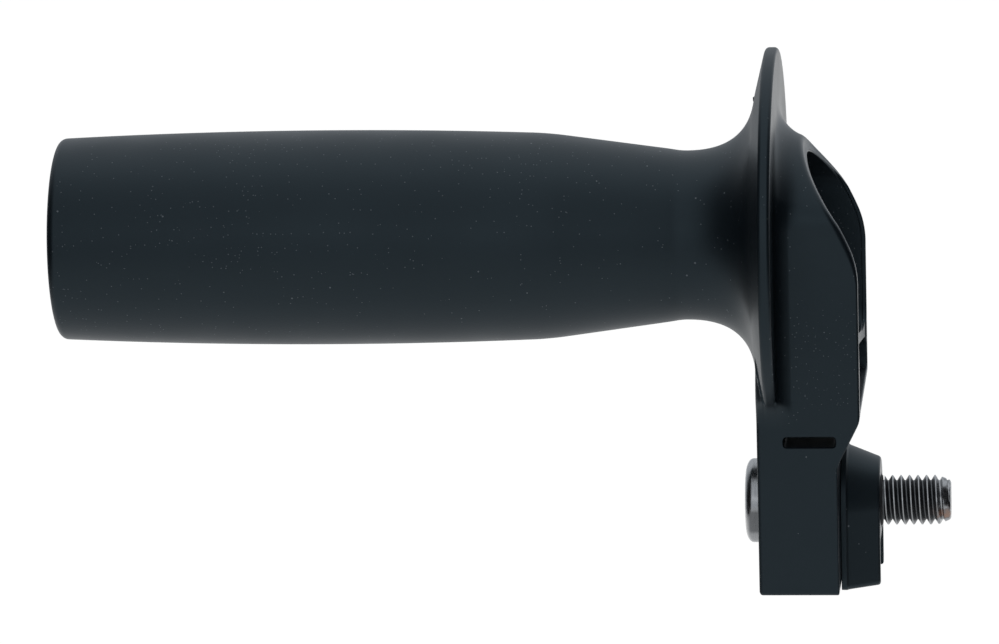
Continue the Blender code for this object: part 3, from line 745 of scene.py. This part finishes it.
class HANDLE_OT_moulding(bpy.types.Operator):
    """Builds the one-piece moulding: grip, guard disc, arm and clamp block"""
    bl_idname = "side_handle.moulding"
    bl_label = "Grip, disc, arm and block"

    def execute(self, context):
        m = context.scene.side_handle_moulding
        w = FrameWords(m)
        centre = (w.disc_x, 0.0, w.grip_z)
        body = revolve("moulded_body", grip_profile(m, w), m.steps, black_plastic(context), centre)
        join(body, loft("arm_and_block", arm_rings(m, w)))
        weld(body, SLIVER)
        for rings in (upper_pocket_rings, lower_pocket_rings, web_hollow_rings):
            cut(body, loft("pocket", rings(m, w)))
        cut(body, revolve("grip_core", core_profile(m, w), SCREW_STEPS, centre=centre))
        cut(body, loft("slot", slot_rings(m, w)))
        cut(body, revolve("screw_hole", screw_hole_profile(m, w), BORE_STEPS))
        (x, y, z), size, seed = FLASH
        add_flash(body, (w.disc_x + x, y, w.grip_z + z), size, seed)
        finish_mesh(body)
        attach(body, "handle")
        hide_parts("handle_body")
        return {"FINISHED"}


def foot_outline(f, share_along, grow):
    """Outline of the foot's round back and legs, at a share of its length from the flange."""
    half = f.root_radius + (f.tip_radius - f.root_radius) * share_along + grow
    floor = -f.drop - f.draft * (1 - share_along) - min(grow, 0.0)
    right = [(0.4 * half, floor)] + arc(half - f.corner, floor + f.corner, f.corner, -90, 0, 6)
    right += [(half, z) for z in (-0.0100, -0.0080, -0.0060, -0.0040, -0.0020)]
    steps = 40
    turns = [0.5 * math.pi * i / steps for i in range(steps)]
    return mirrored(right + [(half * math.cos(a), half * math.sin(a)) for a in turns] + [(0.0, half)])


def foot_rings(f, w):
    """Cross-sections of the foot from its flange to the rounded machine end."""
    start = w.block_face + f.joint
    step = start + f.flange
    lip, r = f.flange_lip, f.edge
    edge, bevel, root = 0.00012, 0.0001, 0.0003
    stations = [(start, lip - edge), (start + edge, lip), (step - edge, lip), (step, lip - bevel),
                (step + bevel, bevel), (step + root, 0.0)]
    rings = []
    for x, grow in stations:
        along = max((x - step) / -step, 0.0)
        rings.append(section(x, foot_outline(f, along, grow)))
    for a in (0, 20, 40, 60, 75, 90):
        a = math.radians(a)
        x = -r + r * math.sin(a)
        along = (x - step) / -step
        rings.append(section(x, foot_outline(f, along, -r * (1 - math.cos(a)))))
    return rings


def channel_rings(f):
    """A cutter for the open channel between the foot's legs."""
    start, corner, outside = FOOT_LOW.x, 0.0008, 0.002
    bottom = -f.drop - 2 * outside
    root = [(start - outside, f.root_radius, 0.0), (start + f.flange, f.root_radius, 0.0)]
    flare = ((-0.0003, 0.0), (-0.0001, 0.0001), (0.0, 0.0003), (outside, 0.0010))
    tip = [(x, f.tip_radius, grow) for x, grow in flare]
    rings = []
    for x, radius, grow in root + tip:
        half = radius - f.wall + grow
        top = -f.roof + grow
        right = [(0.4 * half, bottom), (half, bottom), (half, -f.drop), (half, -0.5 * (f.drop + f.roof))]
        right += arc(half - corner, top - corner, corner, 0, 90, 8)
        rings.append(section(x, mirrored(right)))
    return rings


class HANDLE_OT_foot(bpy.types.Operator):
    """Builds the locating foot, an open channel with a round back"""
    bl_idname = "side_handle.foot"
    bl_label = "Locating foot"

    def execute(self, context):
        f = context.scene.side_handle_foot
        m = context.scene.side_handle_moulding
        foot = loft("channel_foot", foot_rings(f, FrameWords(m)), black_plastic(context))
        cut(foot, loft("channel", channel_rings(f)))
        edge, outside = 0.00015, 0.002
        start = FOOT_LOW.x - outside
        profile = [(start, 0.0), (start, m.screw_hole), (-f.recess_depth, m.screw_hole),
                   (-f.recess_depth, f.recess), (-edge, f.recess), (0.0, f.recess + edge),
                   (outside, f.recess + edge), (outside, 0.0)]
        cut(foot, revolve("ring_recess", profile, BORE_STEPS))
        finish_mesh(foot)
        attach(foot, "handle")
        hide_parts("locating_foot")
        return {"FINISHED"}


class NodeMaker:
    """Adds nodes to a tree and links them as they are made."""

    def __init__(self, tree):
        self.tree = tree
        self.count = 0

    def add(self, kind, inputs=(), **settings):
        node = self.tree.nodes.new(kind)
        node.location = (180 * (self.count % 12), -220 * (self.count // 12))
        self.count += 1
        for key, value in settings.items():
            setattr(node, key, value)
        for key, value in dict(inputs).items():
            socket = node.inputs[key]
            if isinstance(value, bpy.types.NodeSocket):
                self.link(value, socket)
            else:
                socket.default_value = value
        return node

    def link(self, output, socket):
        self.tree.links.new(output, socket)

    def math(self, operation, *values):
        return self.add("ShaderNodeMath", dict(enumerate(values)), operation=operation).outputs[0]

    def plus(self, a, b):
        return self.math("ADD", a, b)

    def minus(self, a, b):
        return self.math("SUBTRACT", a, b)

    def over(self, a, b):
        return self.math("DIVIDE", a, b)

    def times(self, first, *others):
        for value in others:
            first = self.math("MULTIPLY", first, value)
        return first

    def ramp(self, value, start, end, low=0.0, high=1.0, **settings):
        """A value that goes from low to high while another goes from start to end."""
        inputs = {"Value": value, "From Min": start, "From Max": end, "To Min": low, "To Max": high}
        return self.add("ShaderNodeMapRange", inputs, **settings).outputs[0]

    def split(self, vector):
        return self.add("ShaderNodeSeparateXYZ", {0: vector}).outputs

    def noise(self, place, scale, detail=2.0, roughness=0.5):
        inputs = {"Vector": place, "Scale": scale, "Detail": detail, "Roughness": roughness}
        return self.add("ShaderNodeTexNoise", inputs).outputs["Fac"]

    def cells(self, place, scale):
        """Distance to the nearest of many scattered points, and three random values of that point."""
        inputs = {"Vector": place, "Scale": scale, "Randomness": 1.0}
        found = self.add("ShaderNodeTexVoronoi", inputs, feature="F1").outputs
        return found["Distance"], self.add("ShaderNodeSeparateColor", {0: found["Color"]}).outputs

    def blend(self, factor, a, b):
        """Mixes two colours, each a socket or three values."""
        a, b = (c if isinstance(c, bpy.types.NodeSocket) else (*c, 1.0) for c in (a, b))
        inputs = {"Factor": factor, "A": a, "B": b}
        return self.add("ShaderNodeMix", inputs, data_type="RGBA").outputs["Result"]

    def finish(self, shader, base, roughness, height, strength, distance):
        """Links a shader's colour, roughness and relief."""
        bump = self.add("ShaderNodeBump", {"Height": height, "Strength": strength, "Distance": distance})
        self.link(base, shader.inputs["Base Color"])
        self.link(roughness, shader.inputs["Roughness"])
        self.link(bump.outputs[0], shader.inputs["Normal"])


# The thread's grid, and the shares of its pitch that the crest and each flank take.
ROWS_PER_PITCH = 16
STEPS_PER_TURN = 72
CREST_SHARE = 0.125
FLANK_SHARE = 0.375
# Rounding of the screw's tip.
TIP_ROUNDING = 0.0004


def thread_tree():
    """Geometry nodes for a right-handed thread: a sheared grid, wound round the X axis and welded."""
    tree = bpy.data.node_groups.new("thread_turns", "GeometryNodeTree")
    tree.interface.new_socket("Geometry", in_out="OUTPUT", socket_type="NodeSocketGeometry")
    kinds = dict.fromkeys(("Pitch", "Crest radius", "Depth", "Start", "End", "Tip length", "Tip radius",
                           "Tip rounding", "Phase"), "NodeSocketFloat")
    kinds.update({"Rows": "NodeSocketInt", "Material": "NodeSocketMaterial"})
    for name, kind in kinds.items():
        tree.interface.new_socket(name, in_out="INPUT", socket_type=kind)
    n = NodeMaker(tree)
    group = n.add("NodeGroupInput").outputs
    pitch, start, end = group["Pitch"], group["Start"], group["End"]
    crest, rounding = group["Crest radius"], group["Tip rounding"]
    grid = n.add("GeometryNodeMeshGrid", {"Size X": 1.0, "Size Y": 1.0, "Vertices X": STEPS_PER_TURN + 1,
                                          "Vertices Y": n.plus(group["Rows"], 1.0)})
    place = n.split(n.add("GeometryNodeInputPosition").outputs[0])
    turn = n.plus(place["X"], 0.5)
    row = n.math("ROUND", n.times(n.plus(place["Y"], 0.5), group["Rows"]))
    step = n.over(pitch, float(ROWS_PER_PITCH))
    first_row = n.minus(start, n.times(pitch, 2.0))
    raw = n.plus(n.math("MULTIPLY_ADD", row, step, first_row), n.times(pitch, n.plus(turn, group["Phase"])))
    x = n.math("MINIMUM", n.math("MAXIMUM", raw, start), end)
    along = n.math("FRACT", n.over(row, float(ROWS_PER_PITCH)))
    falling = n.over(n.minus(along, CREST_SHARE), FLANK_SHARE)
    rising = n.over(n.minus(1.0, along), FLANK_SHARE)
    sunk = n.math("MAXIMUM", n.math("MINIMUM", n.math("MINIMUM", falling, rising), 1.0), 0.0)
    thread = n.minus(crest, n.times(sunk, group["Depth"]))
    from_end = n.minus(end, x)
    taper = n.over(n.minus(crest, group["Tip radius"]), group["Tip length"])
    cone = n.math("MULTIPLY_ADD", from_end, taper, group["Tip radius"])
    left = n.math("MAXIMUM", n.minus(rounding, from_end), 0.0)
    squares = n.minus(n.times(rounding, rounding), n.times(left, left))
    fall = n.math("SQRT", n.math("MAXIMUM", squares, 0.0))
    limit = n.minus(cone, n.minus(rounding, fall))
    past_end = n.math("GREATER_THAN", n.minus(raw, end), step)
    past_start = n.math("GREATER_THAN", n.minus(start, raw), step)
    inside = n.minus(1.0, n.math("MAXIMUM", past_end, past_start))
    radius = n.times(n.math("MINIMUM", thread, limit), inside)
    around = n.times(turn, 2 * math.pi)
    position = n.add("ShaderNodeCombineXYZ", {"X": x, "Y": n.times(radius, n.math("COSINE", around)),
                                              "Z": n.times(radius, n.math("SINE", around))}).outputs[0]
    wound = n.add("GeometryNodeSetPosition", {"Geometry": grid.outputs["Mesh"], "Position": position})
    welded = n.add("GeometryNodeMergeByDistance", {"Geometry": wound.outputs[0], "Distance": SHORT_EDGE})
    real = n.add("GeometryNodeRealizeInstances", {"Geometry": welded.outputs[0]})
    painted = n.add("GeometryNodeSetMaterial", {"Geometry": real.outputs[0], "Material": group["Material"]})
    n.add("NodeGroupOutput", {0: painted.outputs[0]})
    return tree


def set_inputs(mod, values):
    """Sets a Geometry Nodes modifier's inputs, each by its socket's identifier."""
    for item in mod.node_group.interface.items_tree:
        if item.item_type == "SOCKET" and item.in_out == "INPUT" and item.name in values:
            mod[item.identifier] = values[item.name]


def make_thread(s, start, end, material):
    """The thread as a plain mesh, made by its Geometry Nodes tree."""
    obj = bpy.data.objects.new("thread", bpy.data.meshes.new("thread"))
    bpy.context.scene.collection.objects.link(obj)
    mod = obj.modifiers.new("thread_turns", "NODES")
    mod.node_group = thread_tree()
    rows = math.ceil((end - start) / s.pitch * ROWS_PER_PITCH) + 4 * ROWS_PER_PITCH
    set_inputs(mod, {"Pitch": s.pitch, "Crest radius": s.crest, "Depth": s.depth, "Start": start, "End": end,
                     "Tip length": s.tip_length, "Tip radius": s.tip_radius, "Tip rounding": TIP_ROUNDING,
                     "Phase": s.phase, "Rows": rows, "Material": material})
    apply_modifiers(obj)
    bm = bmesh.new()
    bm.from_mesh(obj.data)
    bmesh.ops.dissolve_degenerate(bm, edges=bm.edges, dist=SHORT_EDGE)
    bmesh.ops.recalc_face_normals(bm, faces=bm.faces)
    bm.to_mesh(obj.data)
    bm.free()
    return obj


class HANDLE_OT_screw(bpy.types.Operator):
    """Builds the clamp screw with its socket head, groove and thread"""
    bl_idname = "side_handle.screw"
    bl_label = "Clamp screw"

    def execute(self, context):
        s = context.scene.side_handle_screw
        m = context.scene.side_handle_moulding
        w = FrameWords(m)
        steel = plated_steel(context)
        sunk, gap, head_edge, groove_edge = 0.00015, 0.0003, 0.0002, 0.0001
        overlap, shank_step = 0.00005, 0.0012
        top = SCREW_LOW.x + sunk
        seat = w.block_back + m.head_hole_depth - gap
        groove_start, groove_end = RING_LOW.x - gap, RING_HIGH.x + gap
        shank_end = groove_end + overlap
        profile = [(top, 0.0), (top, 0.5 * (s.head_radius - s.head_round))]
        profile += [(top + s.head_dome * (1 + x), s.head_radius - s.head_round * (1 - r))
                    for x, r in arc(0, 0, 1, 180, 90, 14)]
        profile += [(seat - head_edge, s.head_radius), (seat, s.head_radius - head_edge), (seat, s.shank)]
        profile += [(groove_start - groove_edge, s.shank), (groove_start, s.shank - groove_edge)]
        profile += [(groove_start, s.groove), (shank_end, s.groove), (shank_end, s.groove - shank_step)]
        screw = revolve("threaded_screw", profile + [(shank_end, 0.0)], SCREW_STEPS, steel)
        outside, chamfer_depth = 0.001, 0.0006
        cut(screw, hexagon(s.socket, top - outside, top + s.socket_depth))
        wide, narrow = s.socket / math.sqrt(3) + 0.0012, 0.5 * s.socket - 0.0003
        chamfer = [(top - outside, 0.0), (top - outside, wide), (top + chamfer_depth, narrow),
                   (top + chamfer_depth, 0.0)]
        cut(screw, revolve("socket_chamfer", chamfer, BORE_STEPS))
        join(screw, make_thread(s, groove_end, SCREW_HIGH.x, steel))
        finish_mesh(screw, 30.0)
        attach(screw, "screw")
        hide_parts("clamp_screw")
        return {"FINISHED"}


def hexagon(across_flats, start, end):
    """A hexagonal prism along X with a corner uppermost and a drilled point at its inner end."""
    corner = across_flats / math.sqrt(3)
    turn = [math.pi * i / 3 for i in range(6)]
    bm = bmesh.new()
    bottom = [bm.verts.new((start, corner * math.sin(a), corner * math.cos(a))) for a in turn]
    top = [bm.verts.new((end, corner * math.sin(a), corner * math.cos(a))) for a in turn]
    point = bm.verts.new((end + 0.35 * corner, 0.0, 0.0))
    bm.faces.new(bottom)
    for i in range(6):
        j = (i + 1) % 6
        bm.faces.new((bottom[i], bottom[j], top[j], top[i]))
        bm.faces.new((top[i], top[j], point))
    return smooth_object("hexagon", bm)


class HANDLE_OT_ring(bpy.types.Operator):
    """Builds the black retaining ring at the root of the thread"""
    bl_idname = "side_handle.ring"
    bl_label = "Retaining ring"

    def execute(self, context):
        s = context.scene.side_handle_screw
        r = s.ring_round
        low, high = RING_LOW.x, RING_HIGH.x
        outer, inner = RING_HIGH.z, s.ring_inner
        profile = arc(low + r, outer - r, r, 180, 90, 5) + arc(high - r, outer - r, r, 90, 0, 5)
        profile += arc(high - r, inner + r, r, 0, -90, 5) + arc(low + r, inner + r, r, 270, 180, 5)
        ring = revolve("black_ring", profile, SCREW_STEPS, black_rubber(context), ring=True)
        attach(ring, "screw")
        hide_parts("retaining_ring")
        return {"FINISHED"}


# How white the floor is for the camera, and in reflections far behind the part.
FLOOR_WHITE = 0.93


def new_material(name):
    """A material with an empty tree but for its shader, or None and the one that is there."""
    mat = bpy.data.materials.get(name)
    if mat is not None:
        return mat, None, None
    mat = bpy.data.materials.new(name)
    mat.use_nodes = True
    n = NodeMaker(mat.node_tree)
    return mat, n, mat.node_tree.nodes["Principled BSDF"]


def black_plastic(context):
    """Satin black plastic: moulded grain, rubbed patches, pale specks, and a sparkle of painted glints on the
    arm's sides.
    """
    look = context.scene.side_handle_finish
    mat, n, shader = new_material("satin_black_plastic")
    if n is None:
        return mat
    coordinates = n.add("ShaderNodeTexCoord").outputs
    place = coordinates["Object"]
    fine = n.noise(place, scale=1.0 / look.grain, roughness=0.6)
    soft = n.noise(place, scale=60.0, detail=3.0, roughness=0.55)
    wide = n.noise(place, scale=18.0)
    haze = n.ramp(n.times(soft, wide), 0.18, 0.40)

    # Pale specks of uneven size, in about a fifth of their places.
    distance, chance = n.cells(place, scale=620.0)
    uneven = n.noise(place, scale=240.0, detail=1.0)
    near = n.math("LESS_THAN", distance, n.math("MULTIPLY_ADD", uneven, 0.24, -0.055))
    specks = n.times(near, n.math("GREATER_THAN", chance[0], 0.82))

    # Painted glints: a finer sparkle of pale dots that stand in for glints of light on the grain, thin
    # everywhere and dense on the arm's sides, inside these three borders.
    lower_border, upper_border, disc_border = (0.010, 0.022), (0.044, 0.032), (-0.0165, -0.0120)
    at = n.split(place)
    above = n.ramp(at["Z"], *lower_border)
    under = n.ramp(at["Z"], *upper_border)
    by_arm = n.ramp(at["X"], *disc_border)
    everywhere = n.times(n.ramp(wide, 0.42, 0.66, 0.02, 0.14), n.math("MULTIPLY_ADD", above, 0.8, 0.2))
    dense = n.plus(everywhere, n.times(above, under, by_arm, soft, 0.34))
    distance, chance = n.cells(place, scale=2100.0)
    painted_glints = n.times(n.math("LESS_THAN", distance, 0.22), n.math("LESS_THAN", chance[1], dense))

    base = n.blend(haze, look.plastic, look.plastic_haze)
    # The pale specks and the painted glints take the same speck colour.
    base = n.blend(n.math("MAXIMUM", specks, n.times(painted_glints, 0.7)), base, look.speck)
    rough = n.ramp(soft, 0.3, 0.7, look.plastic_roughness - 0.035, look.plastic_roughness + 0.035)
    polished = n.ramp(n.split(coordinates["Normal"])["X"], 0.60, 0.95, 0.0, -look.polish)
    n.finish(shader, base, n.plus(rough, polished), fine, strength=0.16, distance=0.00008)
    shader.inputs["IOR"].default_value = 1.49
    shader.inputs["Specular Tint"].default_value = (*look.sheen, 1.0)
    shader.inputs["Specular IOR Level"].default_value = 0.58
    return mat


def plated_steel(context):
    """Plated steel with fine turning marks, painted shade in the thread's roots, a painted dark reflection
    low on the head, stains near the tip and a little brown tarnish.
    """
    look = context.scene.side_handle_finish
    screw = context.scene.side_handle_screw
    mat, n, shader = new_material("plated_screw_steel")
    if n is None:
        return mat
    place = n.add("ShaderNodeTexCoord").outputs["Object"]
    turned = n.add("ShaderNodeMapping", {"Vector": place, "Scale": (9000.0, 700.0, 700.0)}).outputs[0]
    marks = n.noise(turned, scale=1.0)
    patch = n.noise(place, scale=420.0, detail=3.0, roughness=0.6)
    at = n.split(place)
    across = n.math("SQRT", n.plus(n.times(at["Y"], at["Y"]), n.times(at["Z"], at["Z"])))
    tip = SCREW_HIGH.x - screw.tip_length
    near_tip = n.ramp(at["X"], tip - 0.0008, tip + 0.0004)

    # Borders of the painted dark reflection low on the head's side and of the tarnish at the tip.
    head_end, head_side = -0.010, (0.0066, 0.0069)
    patch_top, patch_bottom = (0.0003, -0.0003), (-0.0044, -0.0037)
    tarnish_start, tarnish_top = (0.0075, 0.0105), (0.001, -0.002)
    # Painted shade: the thread's roots are darkened toward the dark grey and made rougher, as shade in the
    # hollows of the thread.
    root = n.ramp(across, screw.crest - 0.00003, screw.crest - 0.00016)
    painted_shade_and_stain = n.times(root, n.math("GREATER_THAN", at["X"], 0.0), n.minus(1.0, near_tip))
    stained = n.times(n.ramp(patch, 0.50, 0.58), near_tip, 0.7)
    # Painted reflection: a dark band low on the head's side, where the head would mirror something dark below
    # it.
    low = n.times(n.ramp(at["Z"], *patch_top), n.ramp(at["Z"], *patch_bottom))
    on_head = n.times(n.math("LESS_THAN", at["X"], head_end), n.ramp(across, *head_side))
    # The painted shade in the roots, the painted reflection on the head and the real stains near the tip are
    # joined in one mask.
    stains_and_painted_shade = n.math("MAXIMUM", n.math("MAXIMUM", painted_shade_and_stain, stained), n.times(low, on_head, 0.8))
    by_tip = n.times(n.ramp(at["X"], *tarnish_start), n.ramp(at["Z"], *tarnish_top))
    brown = n.times(n.ramp(patch, 0.54, 0.66), by_tip)

    base = n.blend(brown, n.blend(stains_and_painted_shade, look.steel, look.painted_shade_and_stain), look.tarnish)
    rough = n.ramp(marks, 0.3, 0.7, look.steel_roughness - 0.06, look.steel_roughness + 0.10)
    rough = n.math("MULTIPLY_ADD", painted_shade_and_stain, 0.15, rough)
    n.finish(shader, base, rough, marks, strength=0.25, distance=0.00003)
    shader.inputs["Metallic"].default_value = 1.0
    return mat


def black_rubber(context):
    """Plain black ring with a faint unevenness."""
    look = context.scene.side_handle_finish
    mat, n, shader = new_material("black_ring_rubber")
    if n is None:
        return mat
    uneven = n.noise(n.add("ShaderNodeTexCoord").outputs["Object"], scale=1600.0)
    base = n.blend(uneven, look.rubber, [1.9 * c for c in look.rubber])
    n.finish(shader, base, n.ramp(uneven, 0.0, 1.0, 0.48, 0.66), uneven, strength=0.2, distance=0.00005)
    return mat


def pale_floor(studio):
    """A white floor that the camera and glossy surfaces see as white, with the part's soft shadow."""
    mat, n, shader = new_material("white_floor")
    place = n.add("ShaderNodeTexCoord").outputs["Object"]
    base = n.blend(n.noise(place, scale=3.0, detail=1.0), studio.floor, [0.985 * c for c in studio.floor])
    n.link(base, shader.inputs["Base Color"])
    shader.inputs["Roughness"].default_value = 0.9
    glow = n.add("ShaderNodeEmission", {"Color": (1.0, 1.0, 1.0, 1.0), "Strength": 1.06})
    path = n.add("ShaderNodeLightPath").outputs
    glow_start, glow_end = 0.15, 0.55
    glossy = n.ramp(n.split(place)["Y"], glow_start, glow_end, studio.floor_glow, FLOOR_WHITE)
    to_camera = n.times(path["Is Camera Ray"], FLOOR_WHITE)
    seen = n.math("MAXIMUM", to_camera, n.times(path["Is Glossy Ray"], glossy))
    mix = n.add("ShaderNodeMixShader", {0: seen, 1: shader.outputs[0], 2: glow.outputs[0]})
    n.link(mix.outputs[0], mat.node_tree.nodes["Material Output"].inputs["Surface"])
    return mat


def white_tent(context, studio):
    """Light from all round, as in a white tent that is open and dark to the left and to the right."""
    world = context.scene.world or bpy.data.worlds.new("studio")
    context.scene.world = world
    world.use_nodes = True
    n = NodeMaker(world.node_tree)
    back = world.node_tree.nodes["Background"]
    way = n.split(n.add("ShaderNodeTexCoord").outputs["Generated"])
    front = n.ramp(way["Y"], 0.35, -0.15)
    # The dark ends begin nearer to the middle in front than behind.
    dark_from = n.math("MULTIPLY_ADD", front, -0.48, 0.60)
    dark_to = n.math("MULTIPLY_ADD", front, -0.37, 0.97)
    aside = n.ramp(n.math("ABSOLUTE", way["X"]), dark_from, dark_to, 1.0, studio.tent_ends,
                   interpolation_type="SMOOTHSTEP")
    behind = n.ramp(way["Y"], 0.2, 0.8)
    level = n.ramp(n.math("ABSOLUTE", way["Z"]), 0.15, 0.50, 1.0, 0.0)
    dip = n.minus(1.0, n.times(behind, level, studio.tent_dip))
    path = n.add("ShaderNodeLightPath").outputs
    strength = n.math("MAXIMUM", n.times(aside, dip, studio.tent), path["Is Camera Ray"])
    n.link(strength, back.inputs["Strength"])
    n.link(n.blend(path["Is Camera Ray"], (0.92, 0.97, 1.03), (1.0, 1.0, 1.0)), back.inputs["Color"])


def soft_light(name, place, target, size, power):
    """A large area light that faces a point."""
    data = bpy.data.lights.new(name, "AREA")
    data.shape = "RECTANGLE"
    data.size, data.size_y = size
    data.energy = power
    lamp = bpy.data.objects.new(name, data)
    lamp.location = place
    lamp.rotation_euler = (Vector(target) - Vector(place)).to_track_quat("-Z", "Y").to_euler()
    bpy.context.scene.collection.objects.link(lamp)


def place_camera(studio, w):
    """Sets the camera at the photograph's angle, framed as the photograph is."""
    a, e = studio.azimuth, studio.elevation
    toward = Vector((math.sin(a) * math.cos(e), -math.cos(a) * math.cos(e), math.sin(e)))
    right = Vector((math.cos(a), math.sin(a), 0.0))
    up = toward.cross(right)
    turn = Matrix.Rotation(-studio.roll, 3, toward)
    right, up = turn @ right, turn @ up
    disc = Vector((w.disc_x, 0.0, w.grip_z))
    data = bpy.data.cameras.new("photo_camera")
    data.lens = studio.lens
    data.sensor_width = 36.0
    data.clip_start, data.clip_end = 0.05, 20.0
    camera = bpy.data.objects.new("photo_camera", data)
    bpy.context.scene.collection.objects.link(camera)
    eye = disc + toward * studio.distance - right * studio.shift_right - up * studio.shift_up
    camera.matrix_world = Matrix.Translation(eye) @ Matrix((right, up, toward)).transposed().to_4x4()
    bpy.context.scene.camera = camera


class HANDLE_OT_stage(bpy.types.Operator):
    """Sets the floor, the soft lights, the world and the camera"""
    bl_idname = "side_handle.stage"
    bl_label = "Studio and camera"

    def execute(self, context):
        studio = context.scene.side_handle_studio
        w = FrameWords(context.scene.side_handle_moulding)
        bm = bmesh.new()
        bmesh.ops.create_grid(bm, x_segments=8, y_segments=20, size=1.0)
        half_length, floor_x, floor_y = 2.4, -0.05, 0.6
        spread = Matrix.Diagonal((studio.floor_width / 2, half_length, 1.0, 1.0))
        bmesh.ops.transform(bm, verts=bm.verts, matrix=spread)
        bmesh.ops.translate(bm, verts=bm.verts, vec=(floor_x, floor_y, CAD_BOX[0].z - studio.floor_drop))
        floor = smooth_object("floor", bm, pale_floor(studio))
        middle = (CAD_BOX[0] + CAD_BOX[1]) / 2
        soft_light("overhead", middle + Vector((0.0, 0.10, 0.95)), middle, size=(1.0, 0.9), power=0.3)
        soft_light("front", middle + Vector((-0.10, -1.5, 0.50)), middle, size=(1.0, 0.35), power=0.35)
        white_tent(context, studio)
        context.scene.view_settings.view_transform = "Standard"
        place_camera(studio, w)
        return {"FINISHED"}


class HANDLE_PT_side(bpy.types.Panel):
    """Lists the pieces and their sizes in the sidebar"""
    bl_idname = "HANDLE_PT_side"
    bl_label = "Side handle"
    bl_space_type = "VIEW_3D"
    bl_region_type = "UI"
    bl_category = "Side handle"

    def draw(self, context):
        for operator in OPERATORS:
            self.layout.operator(operator.bl_idname)
        for name, group in GROUPS.items():
            box = self.layout.box()
            box.label(text=group.__doc__.split(".")[0])
            settings = getattr(context.scene, name)
            for key in group.__annotations__:
                box.prop(settings, key)


GROUPS = {
    "side_handle_moulding": HandleMouldingSizes,
    "side_handle_foot": HandleFootSizes,
    "side_handle_screw": HandleScrewSizes,
    "side_handle_finish": HandleFinish,
    "side_handle_studio": HandleStudio,
}
OPERATORS = (HANDLE_OT_moulding, HANDLE_OT_foot, HANDLE_OT_screw, HANDLE_OT_ring, HANDLE_OT_stage)
CLASSES = (*GROUPS.values(), *OPERATORS, HANDLE_PT_side)


def register():
    for item in CLASSES:
        bpy.utils.register_class(item)
    for name, group in GROUPS.items():
        setattr(bpy.types.Scene, name, PointerProperty(type=group))


def unregister():
    for name in GROUPS:
        delattr(bpy.types.Scene, name)
    for item in reversed(CLASSES):
        bpy.utils.unregister_class(item)


def main():
    register()
    bpy.ops.side_handle.stage()
    bpy.ops.side_handle.moulding()
    bpy.ops.side_handle.foot()
    bpy.ops.side_handle.screw()
    bpy.ops.side_handle.ring()


if __name__ == "__main__":
    main()
